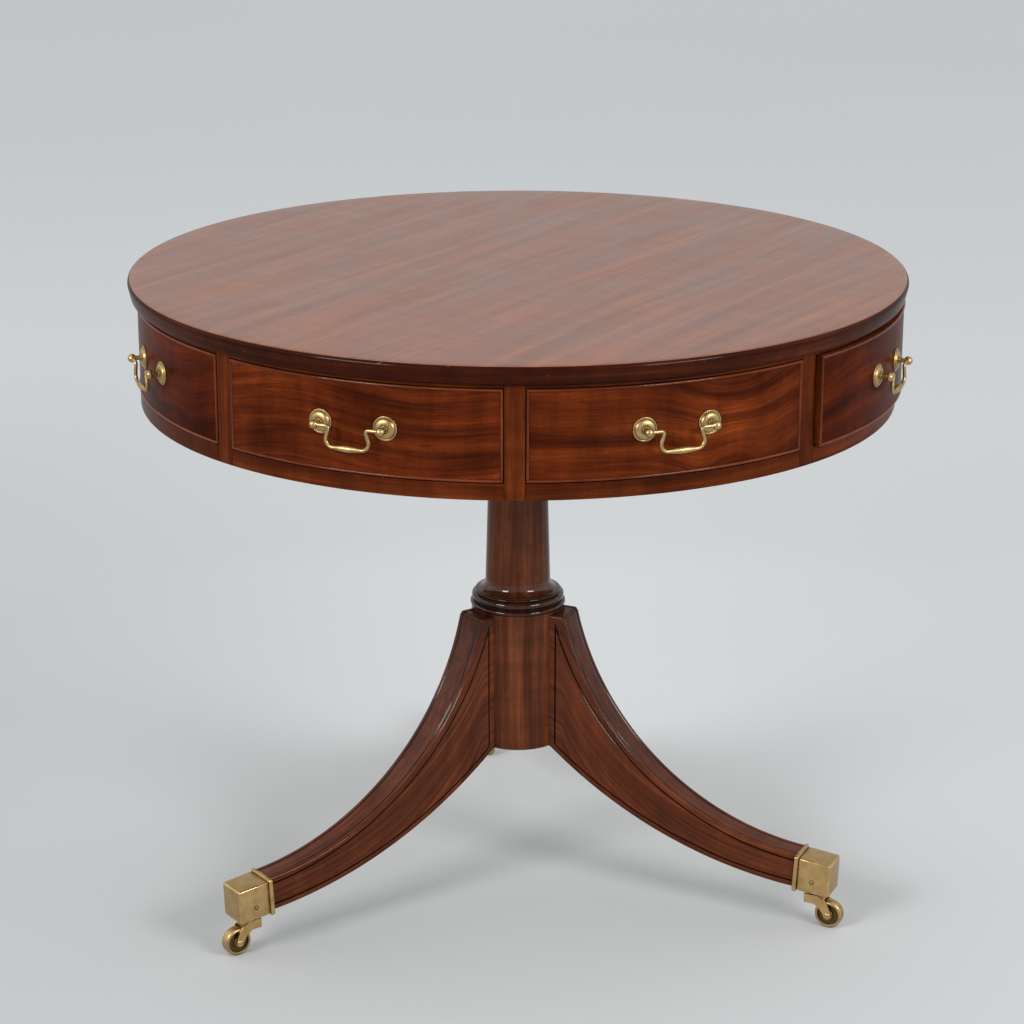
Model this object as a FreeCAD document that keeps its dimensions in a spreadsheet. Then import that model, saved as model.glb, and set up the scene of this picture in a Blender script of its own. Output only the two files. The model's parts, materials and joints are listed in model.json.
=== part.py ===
import FreeCAD, Part
import math
import os
import re

import Sketcher

# Revolving drum table: a round top on a drum of alternating drawers and false fronts,
# turning on a tripod pedestal with sabre legs, toe caps and swivel casters.
# Origin on the floor under the pillar, +Z up, a drawer facing -Y. Millimetres and degrees.

SECTIONS = 8
DRAWERS = 4
LEGS = 3
HALF = 180 / SECTIONS

# Roundness of the turned mouldings: arc radius as a share of the chord, and the rise it gives
BEAD_CURVE = 0.55
BEAD_RISE = BEAD_CURVE - math.sqrt(BEAD_CURVE**2 - 0.25)
FLARE_CURVE = 0.75
ROSE_RIM_CURVE = 0.7
ROSE_DOME_CURVE = 0.9

# Curves of a caster's fork: hollow leading edge, round eye, full trailing edge
HORN_CURVES = {2: (1.5, 1), 3: (0.52, -1), 4: (1.0, -1)}

NUT_SIDES = 6

# Distance below which two places count as one, and the least that a cut takes away
TOUCH = 1e-6
SHAVING = 1e-3

# Share of a bail's straight lower bar that is swollen
BAR_SHARE = 0.85

SIZES = {
    # Table top
    "height": 746.4,
    "top_overhang": 10,
    "top_thickness": 20,
    "top_edge_drop": 5,
    "top_edge_tuck": 3,
    "top_edge_radius": 25,
    # Drum frame
    "drum_radius": 431,
    "drum_height": 122.5,
    "lower_rail_height": 18,
    "upper_rail_height": 5,
    "stile_width": 21.5,
    "stile_depth": 28,
    "base_thickness": 16,
    "guide_thickness": 9,
    "guide_lead": 2.2,
    "stop_thickness": 6,
    "stop_width": 30,
    "stop_height": 14,
    # Drawer and false fronts
    "front_thickness": 20,
    "front_gap": 0.8,
    "bead_width": 3,
    "bead_depth": 8,
    "bead_proud": 1.4,
    "bead_round": 1,
    # Drawer boxes
    "drawer_clearance": 0.6,
    "drawer_float": 0.3,
    "side_thickness": 9,
    "side_height": 86,
    "back_thickness": 9,
    "bottom_thickness": 6,
    "bottom_lift": 5,
    "bottom_groove": 4,
    "ajar": 6,
    # Handles
    "handle_drop": 47,
    "handle_pitch": 75,
    "handle_stand": 14,
    "rose_radius": 13,
    "rose_rim": 1.6,
    "rose_dome": 5,
    "post_radius": 3,
    "post_shank": 2.4,
    "ball_radius": 4.8,
    "bail_wire": 2,
    "bail_swell": 3.7,
    "bail_drop": 22,
    "bail_neck": 20.2,
    "bail_belly": 26.8,
    "bail_neck_bend": 3.2,
    "bail_belly_bend": 8,
    "bail_bite": 2.4,
    "bore_end": 1,
    # Pillar
    "hub_bottom": 175.3,
    "hub_radius": 54.5,
    "hub_top": 342.5,
    "lower_bead_height": 6,
    "lower_bead_radius": 56,
    "quirk": 1,
    "quirk_radius": 52,
    "ovolo_height": 9,
    "upper_bead_height": 2.5,
    "upper_bead_radius": 50.5,
    "flare_lip": 1,
    "flare_radius": 47.5,
    "flare_height": 12,
    "shaft_low_radius": 38,
    "shaft_top_radius": 32.5,
    "block_width": 180,
    "block_thickness": 28,
    "block_chamfer": 4,
    "tenon_radius": 20,
    # Pivot
    "plate_radius": 70,
    "plate_thickness": 3,
    "spindle_radius": 8,
    "spindle_depth": 90,
    "spindle_tip": 4,
    "nut_radius": 14,
    "nut_height": 10,
    # Legs
    "leg_angle": -31,
    "leg_shoulder": 3,
    "leg_shelf": 13,
    "leg_heel": 3.5,
    "leg_upper_radius": 322.5,
    "leg_lower_radius": 528,
    "leg_root_width": 44,
    "leg_foot_width": 33,
    "leg_foot_top": 85.2,
    "leg_foot_bottom": 49.4,
    "foot_step": 4.5,
    "toe_lean": 1.5,
    "leg_reach": 399,
    "line_root": 3,
    "line_tip": 15,
    "line_inset": 7.5,
    "line_radius": 347,
    "line_width": 1.2,
    "line_depth": 0.8,
    "dovetail_neck": 14,
    "dovetail_tail": 20,
    "dovetail_depth": 18,
    "dovetail_shoulder": 22,
    # Toe caps
    "cap_length": 43.8,
    "cap_lean": 2.6,
    "cap_wall": 2,
    "cap_slope": 5.5,
    "cap_lip_width": 6,
    "cap_lip_proud": 2.2,
    "cap_corner": 4,
    "pin_inset": 20,
    "pin_lift": 10,
    "pin_radius": 1.4,
    "pin_head_radius": 3,
    "pin_head_height": 1.2,
    "pin_length": 9,
    # Casters
    "caster_inset": 21.5,
    "caster_trail": 18.5,
    "caster_boss_radius": 7.5,
    "caster_plate": 4.5,
    "caster_gap": 0.3,
    "pintle_radius": 4,
    "pintle_length": 24,
    "wheel_radius": 16.5,
    "wheel_width": 13,
    "wheel_tread_round": 3,
    "wheel_dish": 3,
    "wheel_rim": 4,
    "wheel_hub_radius": 5.5,
    "wheel_top_gap": 2,
    "fork_cheek": 2.6,
    "fork_side_gap": 0.5,
    "fork_eye_radius": 4.6,
    "fork_back": 10,
    "fork_depth": 10.5,
    "fork_throat": 11,
    "fork_brow": 16,
    "axle_radius": 2.2,
    "axle_head": 1.4,
    "axle_head_radius": 3.6,
    # Fits
    "joint_fit": 0.1,
    "pin_fit": 0.02,
    "running_fit": 0.06,
}

# Sizes that follow from others
DERIVED = {
    "top_radius": "drum_radius + top_overhang",
    "handle_height": "height - top_thickness - upper_rail_height - front_gap - handle_drop",
    "leg_top": "hub_top - leg_shoulder",
    "leg_top_reach": "hub_radius + leg_shelf",
    "cap_start": "leg_reach - cap_length",
    "pin_reach": "leg_reach - pin_inset",
    "pin_height": "leg_foot_bottom + pin_lift",
    "caster_reach": "leg_reach - caster_inset",
}

TOP_UNDER = "(height - top_thickness)"
DRUM_BOTTOM = f"({TOP_UNDER} - drum_height)"
RAIL_TOP = f"({DRUM_BOTTOM} + lower_rail_height)"
FRONT_LOW = f"({RAIL_TOP} + front_gap)"
FRONT_HIGH = f"({TOP_UNDER} - upper_rail_height - front_gap)"
FRAME_INNER = "(drum_radius - stile_depth)"
FRONT_INNER = "(drum_radius - front_thickness)"
REBATE = "(drum_radius - bead_depth)"
RAIL_END = "(stile_width / 2 + joint_fit)"
FRONT_END = "(stile_width / 2 + front_gap)"
OPENING_HALF = f"({FRAME_INNER} * sin({HALF}) - stile_width / 2 * cos({HALF}))"
GUIDE_FACE = f"({OPENING_HALF} - guide_lead)"
GUIDE_BACK = f"({GUIDE_FACE} + guide_thickness)"
DRAWER_HALF = f"({GUIDE_FACE} - drawer_clearance)"
DRAWER_BACK = f"({GUIDE_BACK} + stop_thickness + drawer_float + joint_fit)"
DRAWER_INNER = f"({DRAWER_HALF} - side_thickness)"
DRAWER_LOW = f"({RAIL_TOP} + drawer_float)"
BOTTOM_LOW = f"({DRAWER_LOW} + bottom_lift)"
BOX_FACE = f"({FRONT_INNER} - joint_fit)"
BALL_REACH = "(drum_radius + handle_stand)"
HANDLE_ANGLE = f"asin(handle_pitch / 2 / {BALL_REACH})"
BAIL_LINE = f"({BALL_REACH} * cos({HANDLE_ANGLE}))"
UPPER_PLATE_LOW = f"({RAIL_TOP} - base_thickness - plate_thickness)"
LOWER_PLATE_LOW = f"({UPPER_PLATE_LOW} - drawer_float - plate_thickness)"
BLOCK_LOW = f"({LOWER_PLATE_LOW} - block_thickness)"
LOWER_BEAD_TOP = "(hub_top + lower_bead_height)"
OVOLO_LOW = f"({LOWER_BEAD_TOP} + quirk)"
OVOLO_TOP = f"({OVOLO_LOW} + ovolo_height)"
UPPER_BEAD_TOP = f"({OVOLO_TOP} + upper_bead_height)"
FLARE_LOW = f"({UPPER_BEAD_TOP} + flare_lip)"
FLARE_TOP = f"({FLARE_LOW} + flare_height)"
SOCKET_TOP = "(leg_top - dovetail_shoulder)"
CAP_END = "(leg_reach + cap_wall + joint_fit)"
CAP_SOLE = f"({CAP_END} - toe_lean)"
CAP_WIDTH = "(leg_foot_width + 2 * cap_wall + 2 * joint_fit)"
AXLE_SPAN = "(wheel_width + 2 * fork_side_gap + 2 * fork_cheek)"
CROWN_LOW = "(2 * wheel_radius + wheel_top_gap)"
CROWN_TOP = f"({CROWN_LOW} + caster_plate)"
FORK_LOW = f"({CROWN_TOP} - fork_depth)"

document = FreeCAD.newDocument("drum_table")
sheet = document.addObject("Spreadsheet::Sheet", "sizes")
cells = {name: str(size) for name, size in SIZES.items()}
cells.update({name: "=" + text for name, text in DERIVED.items()})
for row, (name, content) in enumerate(cells.items(), 1):
    sheet.set(f"A{row}", name)
    sheet.set(f"B{row}", content)
    sheet.setAlias(f"B{row}", name)
document.recompute()

SIZE_WORD = re.compile(r"\b(" + "|".join(cells) + r")\b")
VERTICAL = FreeCAD.Vector(0, 0, 1)


def formula(text):
    """The text with each size's name pointing at its cell of the sheet."""
    return SIZE_WORD.sub(r"sizes.\1", str(text))


def number(text):
    """The number that a formula gives now."""
    result = sheet.evalExpression(formula(text))
    return float(getattr(result, "Value", result))


def new_body(label):
    body = document.addObject("PartDesign::Body", label)
    body.Label = label
    return body


def origin_feature(body, role):
    return next(item for item in body.Origin.OriginFeatures if item.Role == role)


def new_sketch(body, role, lift="0", turn=None):
    """A sketch on an origin plane, raised along its normal and turned about it."""
    sketch = body.newObject("Sketcher::SketchObject", body.Label + "_sketch")
    sketch.AttachmentSupport = [(origin_feature(body, role), "")]
    sketch.MapMode = "FlatFace"
    sketch.setExpression("AttachmentOffset.Base.z", formula(lift))
    if turn:
        sketch.setExpression("AttachmentOffset.Rotation.Angle", formula(turn))
    return sketch


def drive(sketch, constraint, text):
    index = sketch.addConstraint(constraint)
    sketch.setExpression(f"Constraints[{index}]", formula(text))


def chord_text(start, end):
    return f"sqrt(({end[0]} - ({start[0]}))^2 + ({end[1]} - ({start[1]}))^2)"


def dome(radius, rise):
    """The radius of the sphere whose cap has this rim radius and this rise."""
    return f"(({radius})^2 + ({rise})^2) / (2 * {rise})"


def arc_between(start, end, radius, side):
    """The shorter arc from start to end that bulges left (1) or right (-1) of the chord."""
    chord = end.sub(start)
    half = chord.Length / 2
    rise = radius - math.sqrt(max(radius * radius - half * half, 0))
    left = FreeCAD.Vector(-chord.y, chord.x, 0).normalize()
    middle = (start + end) * 0.5 + left * (rise * side)
    return Part.Arc(start, middle, end)


def outline(sketch, corners, arcs=None):
    """A closed outline through corners given as formulas.

    arcs maps the number of a side to (radius formula, bulge side); a radius given as a float
    is that share of the side's chord.
    """
    arcs = arcs or {}
    points = [FreeCAD.Vector(number(x), number(y), 0) for x, y in corners]
    sides = []
    for index, start in enumerate(points):
        following = (index + 1) % len(points)
        end = points[following]
        if index not in arcs:
            sides.append((sketch.addGeometry(Part.LineSegment(start, end)), 1, 2))
            continue
        radius, side = arcs[index]
        if isinstance(radius, float):
            radius = f"{radius} * {chord_text(corners[index], corners[following])}"
        geometry = sketch.addGeometry(arc_between(start, end, number(radius), side))
        starts_here = sketch.getPoint(geometry, 1).distanceToPoint(start) < TOUCH
        sides.append((geometry, 1, 2) if starts_here else (geometry, 2, 1))
        drive(sketch, Sketcher.Constraint("Radius", geometry, number(radius)), radius)
    for index, (geometry, first, last) in enumerate(sides):
        neighbour, joined, _ = sides[(index + 1) % len(sides)]
        sketch.addConstraint(Sketcher.Constraint("Coincident", geometry, last, neighbour, joined))
        place_point(sketch, geometry, first, corners[index])


def place_point(sketch, geometry, point, place):
    x, y = place
    drive(sketch, Sketcher.Constraint("DistanceX", -1, 1, geometry, point, number(x)), x)
    drive(sketch, Sketcher.Constraint("DistanceY", -1, 1, geometry, point, number(y)), y)


def circle(sketch, radius, x="0", y="0"):
    centre = FreeCAD.Vector(number(x), number(y), 0)
    geometry = sketch.addGeometry(Part.Circle(centre, VERTICAL, number(radius)))
    drive(sketch, Sketcher.Constraint("Radius", geometry, number(radius)), radius)
    place_point(sketch, geometry, 3, (x, y))


def pad(body, sketch, length, symmetric=False):
    feature = body.newObject("PartDesign::Pad", body.Label + "_pad")
    feature.Profile = sketch
    feature.SideType = "Symmetric" if symmetric else "One side"
    feature.setExpression("Length", formula(length))
    return feature


def cut_check(body, before):
    document.recompute()
    if not body.Shape.Volume < before - SHAVING:
        raise ValueError(body.Label + ": a cut removed nothing")


def pocket(body, sketch, length, symmetric=False, upward=False):
    document.recompute()
    before = body.Shape.Volume
    feature = body.newObject("PartDesign::Pocket", body.Label + "_pocket")
    feature.Profile = sketch
    feature.SideType = "Symmetric" if symmetric else "One side"
    feature.Reversed = upward
    feature.setExpression("Length", formula(length))
    cut_check(body, before)
    return feature


def revolve(body, sketch, axis):
    feature = body.newObject("PartDesign::Revolution", body.Label + "_revolution")
    feature.Profile = sketch
    feature.ReferenceAxis = axis
    feature.Angle = 360
    return feature


def groove(body, sketch, axis):
    document.recompute()
    before = body.Shape.Volume
    feature = body.newObject("PartDesign::Groove", body.Label + "_groove")
    feature.Profile = sketch
    feature.ReferenceAxis = axis
    feature.Angle = 360
    cut_check(body, before)
    return feature


def mirror(body, features, plane="YZ_Plane"):
    """The features again on the other side of an origin plane."""
    feature = body.newObject("PartDesign::Mirrored", body.Label + "_mirror")
    feature.Originals = features
    feature.MirrorPlane = (origin_feature(body, plane), [""])
    body.Tip = feature


def polar(body, features, count):
    """The features repeated in a full ring about the Z axis."""
    feature = body.newObject("PartDesign::PolarPattern", body.Label + "_ring")
    feature.Originals = features
    feature.Axis = (origin_feature(body, "Z_Axis"), [""])
    feature.Angle = 360
    feature.Occurrences = count
    body.Tip = feature


def body_axis(body, role):
    return (origin_feature(body, role), [""])


def copy_of(source, label, placement):
    link = document.addObject("App::Link", label)
    link.LinkedObject = source
    link.Label = label
    link.Placement = placement
    return link


def group(label, members):
    compound = document.addObject("Part::Compound", label)
    compound.Links = members
    compound.Label = label
    return compound


def turned(yaw, x=0.0, y=0.0, z=0.0):
    """A placement that first moves by x, y, z and then turns by yaw about the Z axis."""
    turn = FreeCAD.Placement(FreeCAD.Vector(), FreeCAD.Rotation(VERTICAL, yaw))
    return turn.multiply(FreeCAD.Placement(FreeCAD.Vector(x, y, z), FreeCAD.Rotation()))


# Shapes that the drum's ring of sections shares, each drawn for the section that faces -Y


def section_corner(radius, inset, side):
    """Where a circle meets the plane that runs inset beside the stile's middle plane."""
    along = f"sqrt(({radius})^2 - ({inset})^2)"
    x = f"{side} * ({along} * sin({HALF}) - ({inset}) * cos({HALF}))"
    y = f"-({along} * cos({HALF}) + ({inset}) * sin({HALF}))"
    return x, y


def section_outline(sketch, inner, outer, inset):
    """A curved bar between two radii whose ends run beside the stiles."""
    corners = [
        section_corner(inner, inset, 1),
        section_corner(outer, inset, 1),
        section_corner(outer, inset, -1),
        section_corner(inner, inset, -1),
    ]
    outline(sketch, corners, {1: (outer, 1), 3: (inner, -1)})


def rectangle(sketch, x_low, x_high, y_low, y_high):
    outline(sketch, [(x_low, y_low), (x_high, y_low), (x_high, y_high), (x_low, y_high)])


def disc(label, low, thickness, radius, hole):
    body = new_body(label)
    sketch = new_sketch(body, "XY_Plane", low)
    circle(sketch, radius)
    circle(sketch, hole)
    pad(body, sketch, thickness)
    return body


# Drum


def make_table_top():
    body = new_body("table_top")
    sketch = new_sketch(body, "XZ_Plane")
    corners = [
        ("0", TOP_UNDER),
        ("top_radius - top_edge_tuck", TOP_UNDER),
        ("top_radius", "height - top_edge_drop"),
        ("top_radius - top_edge_drop", "height"),
        ("0", "height"),
    ]
    outline(sketch, corners, {1: ("top_edge_radius", -1), 2: ("top_edge_drop", -1)})
    revolve(body, sketch, body_axis(body, "Z_Axis"))
    return body


def make_stiles():
    body = new_body("stiles")
    sketch = new_sketch(body, "XY_Plane", DRUM_BOTTOM)
    outer = "-sqrt(drum_radius^2 - (stile_width / 2)^2)"
    corners = [
        ("-stile_width / 2", f"-{FRAME_INNER}"),
        ("-stile_width / 2", outer),
        ("stile_width / 2", outer),
        ("stile_width / 2", f"-{FRAME_INNER}"),
    ]
    outline(sketch, corners, {1: ("drum_radius", -1)})
    post = pad(body, sketch, "drum_height")
    polar(body, [post], SECTIONS)
    body.Placement = turned(HALF)
    return body


def make_rails(label, low, thickness):
    body = new_body(label)
    sketch = new_sketch(body, "XY_Plane", low)
    section_outline(sketch, FRAME_INNER, "drum_radius", RAIL_END)
    rail = pad(body, sketch, thickness)
    polar(body, [rail], SECTIONS)
    return body


def make_guides():
    body = new_body("drawer_guides")
    sketch = new_sketch(body, "XY_Plane", RAIL_TOP)
    start = f"-({GUIDE_BACK} + joint_fit)"
    end = f"-(({FRAME_INNER} - {GUIDE_BACK} * sin({HALF})) / cos({HALF}) - joint_fit)"
    rectangle(sketch, GUIDE_FACE, GUIDE_BACK, end, start)
    rectangle(sketch, f"-{GUIDE_BACK}", f"-{GUIDE_FACE}", end, start)
    guides = pad(body, sketch, f"{TOP_UNDER} - {RAIL_TOP}")
    polar(body, [guides], DRAWERS)
    return body


def make_stops():
    body = new_body("drawer_stops")
    sketch = new_sketch(body, "XY_Plane", RAIL_TOP)
    near = f"-({DRAWER_BACK} - drawer_float)"
    rectangle(sketch, "-stop_width / 2", "stop_width / 2", near, f"{near} + stop_thickness")
    stop = pad(body, sketch, "stop_height")
    polar(body, [stop], DRAWERS)
    return body


# Fronts, beads and handles


def make_front():
    """A curved front with a rebate round its edge for the beads and two holes for the posts."""
    body = new_body("front")
    back = new_sketch(body, "XY_Plane", FRONT_LOW)
    section_outline(back, FRONT_INNER, REBATE, FRONT_END)
    pad(body, back, f"{FRONT_HIGH} - {FRONT_LOW}")
    face = new_sketch(body, "XY_Plane", f"{FRONT_LOW} + bead_width + pin_fit")
    section_outline(face, REBATE, "drum_radius", f"{FRONT_END} + bead_width + pin_fit")
    pad(body, face, f"{FRONT_HIGH} - {FRONT_LOW} - 2 * bead_width - 2 * pin_fit")
    hole = new_sketch(body, "XY_Plane", "handle_height", HANDLE_ANGLE)
    rectangle(hole, "0", "post_shank + pin_fit", "-drum_radius - front_gap", f"-{FRONT_INNER} + front_gap")
    mirror(body, [groove(body, hole, (hole, ["V_Axis"]))])
    return body


def round_outer_edges(body, base):
    """Rounds the long edges of a bead's outer face."""
    document.recompute()
    proud = number("drum_radius + bead_proud")
    names = []
    for index, edge in enumerate(base.Shape.Edges, 1):
        ends = [math.hypot(vertex.X, vertex.Y) for vertex in edge.Vertexes]
        flat = edge.BoundBox.ZLength < TOUCH
        across = edge.Length > 2 * number("bead_width")
        if min(ends) > proud - SHAVING and across and (flat or edge.BoundBox.XLength < TOUCH):
            names.append(f"Edge{index}")
    fillet = body.newObject("PartDesign::Fillet", body.Label + "_fillet")
    fillet.Base = (base, names)
    fillet.setExpression("Radius", formula("bead_round"))


def make_beads():
    """Two long curved strips and two end strips that stand proud round a front."""
    outer = "drum_radius + bead_proud"
    inner = f"{REBATE} + pin_fit"
    strips = []
    for label, low in (("bead_low", FRONT_LOW), ("bead_high", f"{FRONT_HIGH} - bead_width")):
        body = new_body(label)
        sketch = new_sketch(body, "XY_Plane", low)
        section_outline(sketch, inner, outer, FRONT_END)
        round_outer_edges(body, pad(body, sketch, "bead_width"))
        strips.append(body)
    for label, side in (("bead_right", 1), ("bead_left", -1)):
        body = new_body(label)
        sketch = new_sketch(body, "XY_Plane", f"{FRONT_LOW} + bead_width")
        inset = f"{FRONT_END} + bead_width"
        corners = [
            section_corner(inner, FRONT_END, side),
            section_corner(outer, FRONT_END, side),
            section_corner(outer, inset, side),
            section_corner(inner, inset, side),
        ]
        outline(sketch, corners)
        round_outer_edges(body, pad(body, sketch, f"{FRONT_HIGH} - {FRONT_LOW} - 2 * bead_width"))
        strips.append(body)
    return group("beads", strips)


def make_roses():
    """Two domed round plates, seated on the front where the posts come out."""
    body = new_body("handle_roses")
    sketch = new_sketch(body, "XY_Plane", "handle_height", HANDLE_ANGLE)
    seat = "(drum_radius + pin_fit)"
    corners = [
        ("post_radius + pin_fit", f"-{seat}"),
        ("rose_radius", f"-{seat}"),
        ("rose_radius", f"-({seat} + rose_rim)"),
        ("rose_radius - rose_rim", f"-({seat} + 1.5 * rose_rim)"),
        ("post_radius + rose_rim", f"-({seat} + rose_dome)"),
        ("post_radius + pin_fit", f"-({seat} + rose_dome)"),
    ]
    outline(sketch, corners, {2: (ROSE_RIM_CURVE, -1), 3: (ROSE_DOME_CURVE, -1)})
    plate = revolve(body, sketch, (sketch, ["V_Axis"]))
    mirror(body, [plate])
    return body


def make_posts():
    """Two ball-ended posts whose shanks pass through the front; each ball is bored for the bail."""
    body = new_body("handle_posts")
    sketch = new_sketch(body, "XY_Plane", "handle_height", HANDLE_ANGLE)
    seat = "(drum_radius + pin_fit)"
    throat = f"({BALL_REACH} - sqrt(ball_radius^2 - post_radius^2))"
    corners = [
        ("0", f"-{FRONT_INNER}"),
        ("post_shank", f"-{FRONT_INNER}"),
        ("post_shank", f"-{seat}"),
        ("post_radius", f"-{seat}"),
        ("post_radius", f"-{throat}"),
        ("ball_radius", f"-{BALL_REACH}"),
        ("0", f"-({BALL_REACH} + ball_radius)"),
    ]
    outline(sketch, corners, {4: ("ball_radius", -1), 5: ("ball_radius", -1)})
    post = revolve(body, sketch, (sketch, ["V_Axis"]))
    bore = new_sketch(body, "YZ_Plane")
    circle(bore, "bail_wire + running_fit", f"-{BAIL_LINE}", "handle_height")
    hole = pocket(body, bore, "handle_pitch / 2 - bore_end", upward=True)
    mirror(body, [post, hole])
    return body


def bent_wire(corners, bends):
    """A wire through corners, each inner one rounded to its bend radius."""
    edges = []
    last = corners[0]
    for before, corner, after, radius in zip(corners, corners[1:], corners[2:], bends):
        inward = (before - corner).normalize()
        outward = (after - corner).normalize()
        half_angle = inward.getAngle(outward) / 2
        reach = radius / math.tan(half_angle)
        start = corner + inward * reach
        end = corner + outward * reach
        centre = corner + (inward + outward).normalize() * (radius / math.sin(half_angle))
        middle = centre + (corner - centre).normalize() * radius
        edges.append(Part.LineSegment(last, start).toShape())
        edges.append(Part.Arc(start, middle, end).toShape())
        last = end
    edges.append(Part.LineSegment(last, corners[-1]).toShape())
    return Part.Wire(edges)


def make_bail():
    """A swan-neck bail hanging from its two pins, swollen along the middle of its bar."""
    line = -number(BAIL_LINE)
    level = number("handle_height")
    wire_radius = number("bail_wire")
    pin_end = number("handle_pitch / 2 - ball_radius + bail_bite")
    drop = number("bail_drop")
    neck = number("bail_neck")
    belly = number("bail_belly")
    bends = [number("bail_neck_bend"), number("bail_belly_bend")]
    slope = math.atan2(drop, belly - neck)
    bar_half = BAR_SHARE * (belly - bends[1] / math.tan(slope / 2))

    def spot(x, fall):
        return FreeCAD.Vector(x, line, level - fall)

    path = bent_wire([spot(pin_end, 0), spot(neck, 0), spot(belly, drop), spot(bar_half, drop)], bends)
    section = Part.Wire(Part.Circle(spot(pin_end, 0), FreeCAD.Vector(1, 0, 0), wire_radius).toShape())
    right = path.makePipeShell([section], True, False)
    left = right.mirror(FreeCAD.Vector(), FreeCAD.Vector(1, 0, 0))
    swell = Part.Arc(
        spot(bar_half, drop - wire_radius),
        spot(0, drop - number("bail_swell")),
        spot(-bar_half, drop - wire_radius),
    ).toShape()
    ends = [spot(bar_half, drop - wire_radius), spot(bar_half, drop), spot(-bar_half, drop)]
    ends.append(spot(-bar_half, drop - wire_radius))
    sides = [Part.LineSegment(start, end).toShape() for start, end in zip(ends, ends[1:])]
    half_section = Part.Face(Part.Wire(Part.__sortEdges__([swell] + sides)))
    bar = half_section.revolve(spot(0, drop), FreeCAD.Vector(1, 0, 0), 360)
    feature = document.addObject("Part::Feature", "bail")
    feature.Shape = right.fuse([bar, left]).removeSplitter()
    return feature


# Drawer boxes


def box_corner(x):
    """Where a line along the drawer at x meets the curved back of the front."""
    return x, f"-sqrt({BOX_FACE}^2 - ({x})^2)"


def make_sides():
    body = new_body("drawer_sides")
    sketch = new_sketch(body, "XY_Plane", DRAWER_LOW)
    for side in ("", "-"):
        outer = side + DRAWER_HALF
        inner = side + DRAWER_INNER
        end = f"-{DRAWER_BACK}"
        corners = [(outer, end), box_corner(outer), box_corner(inner), (inner, end)]
        outline(sketch, corners, {1: (BOX_FACE, -1 if side else 1)})
    pad(body, sketch, "side_height")
    slot = new_sketch(body, "XY_Plane", BOTTOM_LOW)
    wide = f"({DRAWER_INNER} + bottom_groove)"
    rectangle(slot, f"-{wide}", wide, "-drum_radius", f"-{DRAWER_BACK} + joint_fit")
    pocket(body, slot, "bottom_thickness + 2 * joint_fit", upward=True)
    return body


def make_back():
    body = new_body("drawer_back")
    low = f"({BOTTOM_LOW} + bottom_thickness + 2 * joint_fit)"
    sketch = new_sketch(body, "XY_Plane", low)
    wide = f"({DRAWER_INNER} - joint_fit)"
    rectangle(sketch, f"-{wide}", wide, f"-({DRAWER_BACK} + back_thickness)", f"-{DRAWER_BACK}")
    pad(body, sketch, f"{DRAWER_LOW} + side_height - {low}")
    return body


def make_bottom():
    body = new_body("drawer_bottom")
    sketch = new_sketch(body, "XY_Plane", f"{BOTTOM_LOW} + joint_fit")
    wide = f"({DRAWER_INNER} + bottom_groove - joint_fit)"
    end = f"-{DRAWER_BACK}"
    corners = [(wide, end), box_corner(wide), box_corner("-" + wide), (f"-{wide}", end)]
    outline(sketch, corners, {1: (BOX_FACE, 1)})
    pad(body, sketch, "bottom_thickness")
    return body


# Pedestal


def make_pillar():
    """Tapered shaft, ring mouldings and plain lower cylinder with a socket for each leg."""
    body = new_body("pillar")
    sketch = new_sketch(body, "XZ_Plane")
    lower_bead = f"(lower_bead_radius - lower_bead_height * {BEAD_RISE})"
    upper_bead = f"(upper_bead_radius - upper_bead_height * {BEAD_RISE})"
    block_top = f"({BLOCK_LOW} + block_thickness)"
    corners = [
        ("0", "hub_bottom"),
        ("hub_radius", "hub_bottom"),
        ("hub_radius", "hub_top"),
        (lower_bead, "hub_top"),
        (lower_bead, LOWER_BEAD_TOP),
        ("quirk_radius", LOWER_BEAD_TOP),
        ("quirk_radius", OVOLO_LOW),
        (upper_bead, OVOLO_TOP),
        (upper_bead, UPPER_BEAD_TOP),
        ("flare_radius", UPPER_BEAD_TOP),
        ("flare_radius", FLARE_LOW),
        ("shaft_low_radius", FLARE_TOP),
        ("shaft_top_radius", BLOCK_LOW),
        ("tenon_radius", BLOCK_LOW),
        ("tenon_radius", block_top),
        ("0", block_top),
    ]
    arcs = {index: (BEAD_CURVE, -1) for index in (3, 6, 7)}
    arcs[10] = (FLARE_CURVE, 1)
    outline(sketch, corners, arcs)
    revolve(body, sketch, body_axis(body, "Z_Axis"))
    bore = new_sketch(body, "XY_Plane", block_top)
    circle(bore, "spindle_radius + pin_fit")
    pocket(body, bore, "spindle_depth")
    socket = new_sketch(body, "XY_Plane", "hub_bottom")
    dovetail(socket, "0")
    polar(body, [pocket(body, socket, f"{SOCKET_TOP} - hub_bottom", upward=True)], LEGS)
    body.Placement = leg_place(0)
    return body


def dovetail(sketch, fit):
    """A dovetail that widens towards the pillar's middle, drawn for a leg along +X."""
    mouth = f"dovetail_neck / 2 - {fit}"
    tail = f"dovetail_tail / 2 - {fit}"
    outside = "hub_radius + quirk"
    inside = f"hub_radius - dovetail_depth + {fit}"
    outline(sketch, [(inside, f"-({tail})"), (outside, f"-({mouth})"), (outside, mouth), (inside, tail)])


def leg_place(index, reach=0.0, across=0.0, rise=0.0):
    """A placement in the frame of one leg, whose own direction is +X."""
    return turned(number("leg_angle") - 90 + index * 360 / LEGS, reach, across, rise)


def foot_line(level, start, x):
    """The height at x of a line that slopes down along the foot from start."""
    return f"({level} - ({x} - ({start})) * tan(cap_slope))"


FOOT_TOP_START = "(cap_start + cap_lean)"
HEEL = "(hub_radius - leg_heel)"


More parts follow.
